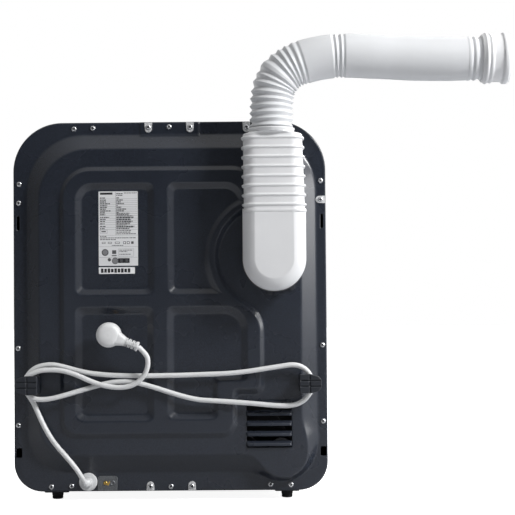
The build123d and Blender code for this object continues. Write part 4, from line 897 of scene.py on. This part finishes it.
# flange that closes the elbow against the collar
VB = []
for z, a in rays:
    ca, sa = math.cos(math.radians(a)), math.sin(math.radians(a))
    for rr in (RE, RE - 1.2, RE - 3.2):
        VB.append((-(VU + rr * ca) * MM, (EY0 + (0 if rr == RE else -0.0)) * MM, (z + rr * sa) * MM))
EL.add(VB, grid_faces(len(rays), 3, flip=True))
elbow = EL.make("elbow_shell", [M["white"]], "vent", True, "white_plastic", ("vent_elbow",), angle=50)
bm = bmesh.new()
bm.from_mesh(elbow.data)
bmesh.ops.remove_doubles(bm, verts=bm.verts, dist=0.00002)
bmesh.ops.dissolve_degenerate(bm, edges=bm.edges, dist=0.00002)
bm.to_mesh(elbow.data)
bm.free()
elbow.data.update()

# =====================================================================
# sleeve with eight ribs, shoulder and neck
# =====================================================================


def rrect(cx, cy, w, d, r, n=9):
    return rpoly([(cx - w / 2, cy - d / 2), (cx + w / 2, cy - d / 2), (cx + w / 2, cy + d / 2), (cx - w / 2, cy + d / 2)],
                 [r] * 4, n)


levels = []          # (z, half growth, blend to neck 0..1)


def lev(z, g, k=0.0):
    levels.append((z, g, k))


lev(ZJ - 1.5, 0.6); lev(ZJ - 1.4, 1.8); lev(ZJ - 0.6, 2.4); lev(ZJ + 1.6, 2.5); lev(ZJ + 2.6, 2.2); lev(ZJ + 3.4, 0.9)
RIB0, RIBP = 460.9, 14.63
for k in range(8):
    c0 = RIB0 + RIBP * k
    grow = 3.1
    for dz, g in ((-4.6, 0.0), (-3.0, 0.1), (-2.2, 0.6), (-1.6, 1.6), (-0.9, grow * 0.92), (0.0, grow), (0.9, grow * 0.92),
                  (1.6, 1.6), (2.2, 0.6), (3.0, 0.1), (4.6, 0.0)):
        if c0 + dz > ZJ + 3.5:
            lev(c0 + dz, g)
lev(568.6, 0.0); lev(569.8, -0.8, 0.05); lev(571.0, -1.4, 0.35); lev(572.2, -1.2, 0.75); lev(573.0, -0.6, 1.0)
lev(575.4, -0.4, 1.0); lev(576.4, 0.6, 1.0); lev(577.6, 0.9, 1.0); lev(578.6, 0.2, 1.0); lev(578.6, -1.6, 1.0)
V = []
for z, g, k in levels:
    f = (z - RIB0) / 102.4
    cx = -165.9 + 2.0 * f
    P = rrect(cx, 223.7, 93.4 - 2.6 * f + 2 * g, 61.0 + 2 * g * 0.6, 20 + g * 0.6, 9)
    NK = rrect(-162.2, 228, 70.6 + 2 * g, 70.6 + 2 * g, 35.2 + g * 0.9, 9)
    Q = P * (1 - k) + NK * k
    V += [(p[0] * MM, p[1] * MM, z * MM) for p in Q]
SL = Soup()
SL.add(V, grid_faces(len(levels), 36, close_v=True, flip=False))
sleeve = SL.make("sleeve_ribbed", [M["white"]], "vent", True, "white_plastic", ("vent_sleeve",), angle=60)

# =====================================================================
# cuff on the free end of the hose
# =====================================================================
prof = []
for s_, r_ in ((0, 33.9), (0.2, 35.4), (1.2, 36.6), (3.4, 37.0), (4.6, 38.4), (5.8, 39.3), (7.6, 39.3), (8.8, 38.0), (9.8, 36.5),
               (11.0, 36.4), (12.0, 37.4), (13.2, 38.2), (14.6, 38.2), (15.8, 37.2), (16.8, 36.2), (19.0, 36.1), (24.0, 36.2),
               (29.0, 36.4), (30.6, 36.7), (31.6, 37.6), (32.6, 39.0), (33.8, 39.5), (38.6, 39.5), (39.8, 38.9), (40.4, 37.4),
               (41.6, 36.9), (42.5, 36.4), (43.0, 35.6), (43.0, 34.4), (42.2, 33.7), (38.0, 33.5), (33.0, 33.5), (32.4, 32.6),
               (32.0, 31.6), (24.0, 31.5)):
    prof.append((r_ * MM, s_ * MM))
cv_, cf_ = lathe(prof, (-0.485, 0.228, 0.684), (-1, 0, 0), 96)
cuff = make("cuff_ring", cv_, cf_, M["white"], "vent", True, ("hose_cuff",), 50)

# =====================================================================
# plug, gland and strain reliefs
# =====================================================================
PC = np.array([91.5, 217.0, 262.9])
PE = np.array([45.5, 217.0, 244.1])
PD = (PE - PC) / np.linalg.norm(PE - PC)
PL = Soup()
prof = [(0, 27.4), (4, 27.4), (8, 27.2), (12, 26.7), (14.6, 25.8), (16.4, 24.6), (17.8, 23.0), (18.8, 21.0), (19.3, 18.6),
        (19.4, 15.5), (19.4, 8.0), (19.2, 7.0), (18.6, 6.3), (17.6, 6.0), (11.5, 6.0), (10.8, 6.4), (0.0, 6.4)]
pv, pf = lathe([(a * MM, b * MM) for a, b in prof], (91.5 * MM, 0.200, 262.9 * MM), (0, 1, 0), 72)
PL.add(pv, pf)
# waisted block between the body and the grooved relief
secs = [(9, 25, 17.5, 7), (14, 23.5, 17.4, 7), (18, 20.5, 16.6, 6.5), (22, 17.6, 15.6, 6), (25, 15.6, 14.6, 6), (27.5, 14.8, 14.2, 6.2)]
side = np.cross(PD, [0, 1, 0])
V = []
for s_, w, hh, rr in secs:
    for p in rrect(0, 0, w, hh, rr, 7):
        q = PC + PD * s_ + side * p[0] + np.array([0, 1, 0]) * p[1]
        V.append(tuple(q * MM))
PL.add(V, grid_faces(len(secs), 28, close_v=True, flip=True))
plug = PL.make("plug_body", [M["cord"]], "cabinet", True, "cord_pvc", ("power_plug",), angle=50)

# grooved relief on the lead behind the plug
rl = np.array([PC + PD * s_ for s_ in np.arange(26.0, 50.0, 0.4)])
ss = np.arange(26.0, 50.0, 0.4)
sg = 36
ang = np.linspace(0, 2 * math.pi, sg, endpoint=False)
Rr = np.zeros((len(ss), sg))
for i, s_ in enumerate(ss):
    base = 7.1 - 0.25 * math.sin((s_ - 26) / 25 * math.pi)
    if s_ > 46.0:
        base = 7.7
    if s_ > 48.8:
        base = 7.7 - (s_ - 48.8) * 1.6
    for j, a in enumerate(ang):
        g = 0.0
        for k in range(6):
            c0 = 29.0 + 2.9 * k
            lo = abs(math.sin(a + (math.pi / 2 if k % 2 else 0))) > 0.22
            if abs(s_ - c0) < 0.85 and lo:
                g = 2.5
        Rr[i, j] = base - g
Rr[-1, :] = 4.4
rv, rf = tube(rl * MM, Rr * MM, sg)
plug_relief = make("plug_relief", rv, rf, M["cord"], "cabinet", True, (), 40)

# gland in the panel and the tapered relief the lead comes out of
gl = []
prof = [(0, 4.6), (6.0, 4.6), (7.6, 4.7), (8.2, 4.2), (9.0, 4.2), (12.2, 4.1), (13.4, 3.7), (14.1, 3.0), (14.4, 2.0), (14.4, 0.0), (9.0, -0.2),
        (9.0, -8.0)]
gv, gf = lathe([(a * MM, b * MM) for a, b in prof], (0.1308, 0.165, 0.0300), (0, 1, 0), 64)
gland = make("gland_disc", gv, gf, M["gland"], "cabinet", True, ("cord_gland",), 45)
gs, gl_ = resample(cord_pts, 0.0006)
gsel = gl_ < 0.0265
gp = gs[gsel]
gd = gl_[gsel] * 1000
gr = 7.4 - 2.7 * np.clip(gd / 26.0, 0, 1)
for k in range(5):
    gr -= np.where(np.abs(gd - (7.5 + 3.4 * k)) < 0.75, 0.9, 0)
gr[-1] = 4.1
g_pts = np.vstack([gp[0] - (gp[1] - gp[0]) / np.linalg.norm(gp[1] - gp[0]) * 0.006, gp])
g_rad = np.r_[7.4, gr] * MM
tv, tf = tube(g_pts, g_rad, 32)
gland_relief = make("gland_relief", tv, tf, M["gland"], "cabinet", True, (), 40)

# =====================================================================
# cabinet skin, with its rear flange open behind the slots and windows
# =====================================================================


def ring_of(inset, n=26):
    return rpoly([(-247.5 + inset, 15 + inset), (247.5 - inset, 15 + inset), (247.5 - inset, 598 - inset),
                  (-247.5 + inset, 598 - inset)], [45 - inset, 45 - inset, 78 - inset, 78 - inset], n)


WR = Soup()
sect = [(10.0, -161.6), (10.0, -163.0), (1.6, -163.0), (0.7, -162.8), (0.2, -162.3), (0.0, -161.5), (0.0, -120.0), (0.0, -60.0),
        (0.0, 0.0), (0.0, 60.0), (0.0, 120.0), (0.0, 162.2), (0.15, 162.9), (0.5, 163.5), (1.0, 163.8), (2.2, 163.8),
        (2.2, 162.4), (1.5, 162.0), (1.5, -161.0), (2.0, -161.6)]
V = []
for ins, y in sect:
    for p in ring_of(ins):
        V.append((-p[0] * MM, y * MM, p[1] * MM))
WR.add(V, grid_faces(len(sect), len(ring_of(0.0)), close_u=True, close_v=True, flip=False))
WR.make("cabinet_skin", [M["cabinet"]], "cabinet", True, "cabinet_paint", ("cabinet_wrap",), angle=50)
F2 = np.minimum(sdist(U, Z, ring_of(1.0)), -sdist(U, Z, ring_of(14.0)))
for cu in (-240, 241):
    F2 = cut_box(F2, cu, 439, 5.5, 24, 2.7)
    F2 = cut_box(F2, cu, 76, 11, 16, 1.0)
F2 = np.minimum(F2, np.hypot(U + 130.8, Z - 30.0) - 9.3)
relief("rear_flange", us, zs, F2, np.zeros(U.shape), 163.7, M["cabinet"], "cabinet", 1.5)

# =====================================================================
# collar round the outlet
# =====================================================================
CO = Soup()
prof = [(41.5, 0.0), (44.0, 0.0), (44.0, 26.3), (50.1, 26.3), (50.6, 26.8), (50.6, 29.8), (50.3, 30.5), (49.6, 31.0), (45.4, 31.0),
        (44.4, 31.3), (44.0, 32.0), (44.0, 48.2), (43.7, 48.8), (43.2, 49.0), (42.3, 49.0), (41.8, 48.8), (41.5, 48.2), (41.5, 20.0)]
cv2, cf2 = lathe([(a * MM, b * MM) for a, b in prof], (-0.1655, 0.159, 0.378), (0, 1, 0), 96, closed=True)
CO.add(cv2, cf2)
CO.make("outlet_ring", [M["collar"]], "cabinet", True, "grey_plastic", ("outlet_collar",), angle=45)
CL = Soup()
for a in (-98, -58):
    t = math.radians(a)
    c0 = np.array([165.5 + 52.5 * math.cos(t), 378 + 52.5 * math.sin(t)])
    ex, ez = np.array([math.cos(t), math.sin(t)]), np.array([-math.sin(t), math.cos(t)])
    loc = rpoly([(-3.4, -4.0), (3.4, -4.0), (3.4, 4.0), (-3.4, 4.0)], [1.0] * 4, 5)
    plate(CL, [tuple(c0 + ex * p[0] + ez * p[1]) for p in loc], 185.1, 188.5, 0.5)
CL.make("collar_clips", [M["black"]], "cabinet", True, "grey_plastic", angle=45)

# =====================================================================
# rating label and batch label: plain rules, bars and generic marks
# =====================================================================
LB = Soup()
LY = 185.0
LU0, LZ1 = -109.85, 487.2
plate(LB, rpoly([(LU0, LZ1 - 117.0), (LU0 + 61.7, LZ1 - 117.0), (LU0 + 61.7, LZ1), (LU0, LZ1)], [1.2] * 4, 6), LY, LY + 0.3, 0.1, 0)
plate(LB, rpoly([(LU0 - 0.2, LZ1 - 129.6), (LU0 + 56.6, LZ1 - 129.6), (LU0 + 56.6, LZ1 - 119.2), (LU0 - 0.2, LZ1 - 119.2)], [1.0] * 4, 6), LY, LY + 0.3, 0.1, 1)


def lbar(u0, z0, u1, z1, mat, rise=0.06):
    """One printed bar, given by its corners in label millimetres from the upper left."""
    P = [(LU0 + u0, LZ1 - z1), (LU0 + u1, LZ1 - z1), (LU0 + u1, LZ1 - z0), (LU0 + u0, LZ1 - z0)]
    V = [(-p[0] * MM, y * MM, p[1] * MM) for y in (LY + 0.26, LY + 0.3 + rise) for p in P]
    LB.add(V, [(4, 5, 6, 7), (3, 2, 1, 0), (0, 1, 5, 4), (1, 2, 6, 5), (2, 3, 7, 6), (3, 0, 4, 7)], mat)


rngl = np.random.default_rng(11)


def lrow(u0, u1, z, h, mat=3):
    """A row of short bars of uneven length, as fine print looks from a distance."""
    x = u0
    while x < u1 - 0.6:
        w_ = float(rngl.uniform(1.2, 4.2))
        e = min(x + w_, u1)
        lbar(x, z, e, z + h, mat)
        x = e + float(rngl.uniform(0.35, 0.9))


# header band
lbar(2.4, 2.0, 22.0, 5.2, 2)
# table: ruled rows, a divider, short entries left and longer ones right
rows = [9.6, 12.9, 15.8, 18.6, 21.5, 24.3, 27.2, 30.0, 32.9, 35.9, 40.1, 43.3, 46.5, 50.2, 54.3, 57.7]
for k, z in enumerate(rows):
    lbar(0.6, z + 2.1, 61.1, z + 2.45, 4)
    lrow(2.2, 9 + 10 * float(rngl.random()), z, 1.65)
    if k < 9:
        lrow(28.0, 31 + 14 * float(rngl.random()), z, 1.65)
    else:
        lrow(28.0, 44 + 14 * float(rngl.random()), z, 1.65)
        lrow(28.0, 44 + 12 * float(rngl.random()), z - 1.9, 1.2)
lbar(26.7, 1.0, 27.1, 68.6, 4)
lrow(28.0, 38.0, 3.0, 1.4)
lrow(28.0, 38.0, 5.6, 1.4)
lrow(40.0, 60.0, 2.2, 1.1)
# a small frame
for a in ((2.2, 60.6, 13.6, 60.9), (2.2, 65.6, 13.6, 65.9), (2.2, 60.6, 2.5, 65.9), (13.3, 60.6, 13.6, 65.9), (4.4, 62.3, 11.4, 64.1)):
    lbar(*a, 3)
lrow(28.0, 52.0, 61.0, 1.3); lrow(28.0, 50.0, 63.6, 1.3); lrow(28.0, 59.0, 66.2, 1.3)
lbar(0.6, 68.9, 61.1, 69.2, 4)
lrow(2.2, 13.0, 70.2, 1.3); lrow(2.2, 58.0, 72.6, 1.2); lrow(2.2, 27.0, 75.2, 1.2)
# a row of plain blocks and frames
for a in ((5.0, 79.5, 10.6, 82.3), (14.6, 79.5, 20.6, 82.3), (25.6, 79.3, 33.0, 82.3)):
    lbar(*a, 3)
    lbar(a[0] + 0.7, a[1] + 0.7, a[2] - 0.7, a[3] - 0.7, 0, 0.09)
for cx_ in (40.6, 46.4):
    lbar(cx_ - 2.1, 78.8, cx_ + 2.1, 82.8, 2)
    lbar(cx_ - 1.3, 79.6, cx_ + 1.3, 82.0, 0, 0.09)
lbar(51.0, 78.8, 54.8, 82.8, 3)
lrow(20.6, 39.0, 84.6, 1.1)
lbar(0.6, 86.7, 61.1, 87.0, 4)


def ldisc(cu, cz, r0, mat, rise=0.08, n_=30):
    V = []
    for y in (LY + 0.26, LY + 0.3 + rise):
        for j in range(n_):
            t = 2 * math.pi * j / n_
            V.append((-(LU0 + cu + r0 * math.cos(t)) * MM, y * MM, (LZ1 - cz + r0 * math.sin(t)) * MM))
    f = [tuple(range(n_, 2 * n_)), tuple(reversed(range(n_)))]
    f += [(j, (j + 1) % n_, n_ + (j + 1) % n_, n_ + j) for j in range(n_)]
    LB.add(V, f, mat)


ldisc(10.0, 96.0, 5.4, 3)
ldisc(10.0, 96.0, 3.9, 4, 0.11)
lbar(21.0, 92.6, 27.4, 98.4, 3); lbar(20.4, 100.4, 28.0, 101.8, 2)
for a in ((31.0, 90.2, 55.0, 90.5), (31.0, 101.9, 55.0, 102.2), (31.0, 90.2, 31.3, 102.2), (54.7, 90.2, 55.0, 102.2)):
    lbar(*a, 4)
lrow(32.4, 53.0, 92.0, 1.1); lrow(32.4, 45.0, 94.2, 1.1); lrow(32.4, 50.0, 98.4, 1.1)
lbar(0.6, 103.7, 61.1, 104.0, 4)
ldisc(16.6, 107.4, 2.6, 3)
lbar(30.4, 105.2, 48.4, 112.6, 5)
ldisc(25.8, 109.2, 5.2, 3)
ldisc(25.8, 109.2, 4.3, 4, 0.11)
lbar(33.6, 106.6, 37.6, 111.2, 3, 0.09)
lbar(42.0, 106.8, 45.8, 111.0, 3, 0.09)
# batch label: nine upright bars of equal width
for k in range(9):
    c0 = 3.4 + 5.25 * k
    hgt = (6.6, 6.0, 6.6, 5.6, 6.6, 6.0, 6.6, 5.6, 6.4)[k]
    lbar(c0, 124.5 - hgt / 2, c0 + 3.9, 124.5 + hgt / 2, 5)
LB.make("label_sheets", [M["label"], M["label_white"], M["label_ink"], M["label_mark"], M["label_rule"], M["label_block"]],
        "cabinet", False, "label_film", ("rating_labels",))

# =====================================================================
# earth plate and its screw, feet and their plates
# =====================================================================
EP = Soup()
plate(EP, rpoly([(-115.8, 16.4), (-84.7, 16.4), (-84.7, 39.2), (-112.5, 39.2), (-115.8, 36.5)], [1, 1, 5, 2, 1], 8), 165.0, 166.2, 0.35)
prof = [(0.0, 0.5), (1.9, 0.5), (2.5, 0.7), (2.9, 1.1), (3.4, 1.15), (3.8, 0.8), (4.2, 0.2), (4.4, -0.05)]
ev, ef = lathe([(a * MM, b * MM) for a, b in prof], (0.0924, 0.1661, 0.0280), (0, 1, 0), 40)
EP.add(ev, ef)
# a coloured V beside the screw hole
for s_ in (-1, 1):
    A = np.array([-99.5, 24.0])
    B = np.array([-99.5 + s_ * 2.4, 30.5])
    d = (B - A) / np.linalg.norm(B - A)
    nn = np.array([-d[1], d[0]]) * 0.75
    P = [A - nn, A + nn, B + nn, B - nn]
    if s_ > 0:
        P = [A + nn, B + nn, B - nn, A - nn][::-1]
        P = [A - nn, B - nn, B + nn, A + nn]
    area2 = sum(P[i][0] * P[(i + 1) % 4][1] - P[(i + 1) % 4][0] * P[i][1] for i in range(4))
    if area2 < 0:
        P = P[::-1]
    V = [(-p[0] * MM, y * MM, p[1] * MM) for y in (166.15, 166.35) for p in P]
    EP.add(V, [(4, 5, 6, 7), (3, 2, 1, 0), (0, 1, 5, 4), (1, 2, 6, 5), (2, 3, 7, 6), (3, 0, 4, 7)], 1)
EP.make("earth_plate_skin", [M["earthplate"], M["yellow"]], "cabinet", True, "galvanised", ("earth_plate",), angle=40)
ES = Soup()
V = []
for rr, hh in zip(ring, rise):
    for j in range(NS):
        t = 2 * math.pi * j / NS
        x, z = rr * 0.8 * math.cos(t), rr * 0.8 * math.sin(t)
        dd = hh * 0.88
        if rr * 0.8 < 2.0 and abs(x * 0.8 + z * 0.6) < 0.45:
            dd -= 1.0
        V.append((-(-103.5 + x) * MM, (166.2 + dd) * MM, (28.0 + z) * MM))
ES.add(V, grid_faces(len(ring), NS, close_v=True))
ES.make("earth_screw_head", [M["brass"]], "cabinet", True, "zinc_bright", ("earth_screw",), angle=40)

FT = Soup()
FP = Soup()
for fx, fy in ((-183, -138), (183, -138), (-183, 138), (183, 138)):
    prof = [(0.0, 0.2), (5.0, 0.2), (7.2, 0.3), (8.2, 0.9), (8.6, 2.0), (8.7, 3.4), (8.3, 4.2), (8.35, 5.0), (8.9, 5.8), (9.1, 8.6), (9.1, 11.0),
            (8.4, 11.5), (0.0, 11.5)]
    fv_, ff_ = lathe([(a * MM, b * MM) for a, b in prof], (fx * MM, fy * MM, 0.0), (0, 0, 1), 48)
    FT.add(fv_, ff_)
    loc = rrect(fx, fy, 39, 30, 4, 7)
    n_ = len(loc)
    rings_ = [(0.6, 11.5), (0.0, 12.1), (0.0, 14.4), (0.6, 15.0)]
    V = []
    for ins, z in rings_:
        for p in rrect(fx, fy, 39 - 2 * ins, 30 - 2 * ins, 4 - ins, 7):
            V.append((p[0] * MM, p[1] * MM, z * MM))
    FP.add(V, grid_faces(len(rings_), n_, close_v=True) + [tuple(range(3 * n_, 4 * n_)), tuple(reversed(range(n_)))])
FT.make("foot_pads", [M["rubber"]], "cabinet", True, "rubber_black", ("feet",), angle=45)
FP.make("foot_bases", [M["black"]], "cabinet", True, "black_plastic", ("foot_plates",), angle=45)

# =====================================================================
# marks printed on the control panel round the two knobs
# =====================================================================
PR = Soup()


def mark(x0, z0, x1, z1, w_):
    """A printed stroke on the control panel, standing a hair proud of it."""
    A, B = np.array([x0, z0], float), np.array([x1, z1], float)
    d = (B - A) / np.linalg.norm(B - A)
    nn = np.array([-d[1], d[0]]) * w_ / 2
    P = [A - nn, B - nn, B + nn, A + nn]
    V = [(q[0] * MM, y * MM, q[1] * MM) for y in (-194.95, -195.12) for q in P]
    PR.add(V, [(4, 5, 6, 7), (3, 2, 1, 0), (0, 1, 5, 4), (1, 2, 6, 5), (2, 3, 7, 6), (3, 0, 4, 7)])


for k in range(13):
    a = math.radians(240 - 25 * k)
    long_ = 3.6 if k % 3 == 0 else 2.2
    mark(150 + 26.6 * math.cos(a), 543 + 26.6 * math.sin(a), 150 + (26.6 + long_) * math.cos(a), 543 + (26.6 + long_) * math.sin(a),
         0.9 if k % 3 == 0 else 0.6)
for a0 in (45, 90, 135):
    a = math.radians(a0)
    mark(82 + 19 * math.cos(a), 543 + 19 * math.sin(a), 82 + 22.5 * math.cos(a), 543 + 22.5 * math.sin(a), 0.9)
mark(14, 534, 26, 534, 0.6)
PR.make("panel_marks", [M["print"]], "cabinet", False, "fascia_plastic")

# =====================================================================
# floor, backdrop, light
# =====================================================================
fl_m, fl_nt, fl_bs = nodes_of("studio_floor")
fv = coords(fl_nt)
fn = noise(fl_nt, fv, 2.0, 3.0, 0.5)
fl_ray = fl_nt.nodes.new("ShaderNodeLightPath")
fl_col = ramp(fl_nt, fn, [(0.3, (0.90, 0.90, 0.90)), (0.7, (0.93, 0.93, 0.93))])
fl_nt.links.new(mix_col(fl_nt, fl_ray.outputs["Is Camera Ray"], (0.44, 0.445, 0.46), fl_col), fl_bs.inputs["Base Color"])
fl_bs.inputs["Roughness"].default_value = 0.75
fl_bs.inputs["Specular IOR Level"].default_value = 0.15
fl_bs.inputs["Emission Color"].default_value = (1.0, 1.0, 1.0, 1.0)
fl_lp = fl_nt.nodes.new("ShaderNodeLightPath")
fl_nt.links.new(maprange(fl_nt, fl_lp.outputs["Is Camera Ray"], 0.0, 1.0, 0.02, 0.92), fl_bs.inputs["Emission Strength"])
fme = D.meshes.new("studio_floor")
fme.from_pydata([(-9, -9, 0), (9, -9, 0), (9, 9, 0), (-9, 9, 0)], [], [(0, 1, 2, 3)])
fme.materials.append(fl_m)
floor = D.objects.new("studio_floor", fme)
SCN.collection.objects.link(floor)

w = D.worlds.new("studio")
SCN.world = w
w.use_nodes = True
nt = w.node_tree
nt.nodes.clear()
out = nt.nodes.new("ShaderNodeOutputWorld")
bg_l = nt.nodes.new("ShaderNodeBackground")
bg_c = nt.nodes.new("ShaderNodeBackground")
mixs = nt.nodes.new("ShaderNodeMixShader")
lp = nt.nodes.new("ShaderNodeLightPath")
tc = nt.nodes.new("ShaderNodeTexCoord")
sp = nt.nodes.new("ShaderNodeSeparateXYZ")
nt.links.new(tc.outputs["Generated"], sp.inputs[0])
yr = maprange(nt, sp.outputs["Y"], 0.30, 0.92, 1.0, 0.075)
xr = maprange(nt, sp.outputs["X"], -0.75, 0.75, 0.95, 0.36)
zr = maprange(nt, sp.outputs["Z"], -0.1, 0.9, 0.45, 1.20)
nt.links.new(math_node(nt, "MULTIPLY", math_node(nt, "MULTIPLY", yr, zr), xr), bg_l.inputs["Strength"])
bg_l.inputs["Color"].default_value = (1.0, 1.0, 1.0, 1)
bg_c.inputs["Color"].default_value = (1.0, 1.0, 1.0, 1)
bg_c.inputs["Strength"].default_value = 1.0
nt.links.new(lp.outputs["Is Camera Ray"], mixs.inputs[0])
nt.links.new(bg_l.outputs[0], mixs.inputs[1])
nt.links.new(bg_c.outputs[0], mixs.inputs[2])
nt.links.new(mixs.outputs[0], out.inputs[0])


def area(name, loc, aim, size, power, col=(1, 1, 1)):
    L = D.lights.new(name, "AREA")
    L.energy = power
    L.size = size
    L.color = col
    o = D.objects.new(name, L)
    SCN.collection.objects.link(o)
    o.location = loc
    o.rotation_euler = (Vector(aim) - Vector(loc)).to_track_quat("-Z", "Y").to_euler()
    return o


key = area("key", (-1.8, 1.45, 1.85), (0.0, 0.2, 0.35), 0.5, 56)
rim = area("side", (-2.4, 0.5, 0.9), (0.0, 0.2, 0.35), 1.0, 23)
front_a = area("front_key", (-1.9, -2.6, 2.4), (0.0, 0.0, 0.3), 1.4, 70)
front_b = area("front_fill", (2.4, -2.0, 1.2), (0.0, 0.0, 0.3), 1.6, 30)
SCN.view_settings.view_transform = "Standard"
SCN.view_settings.look = "None"
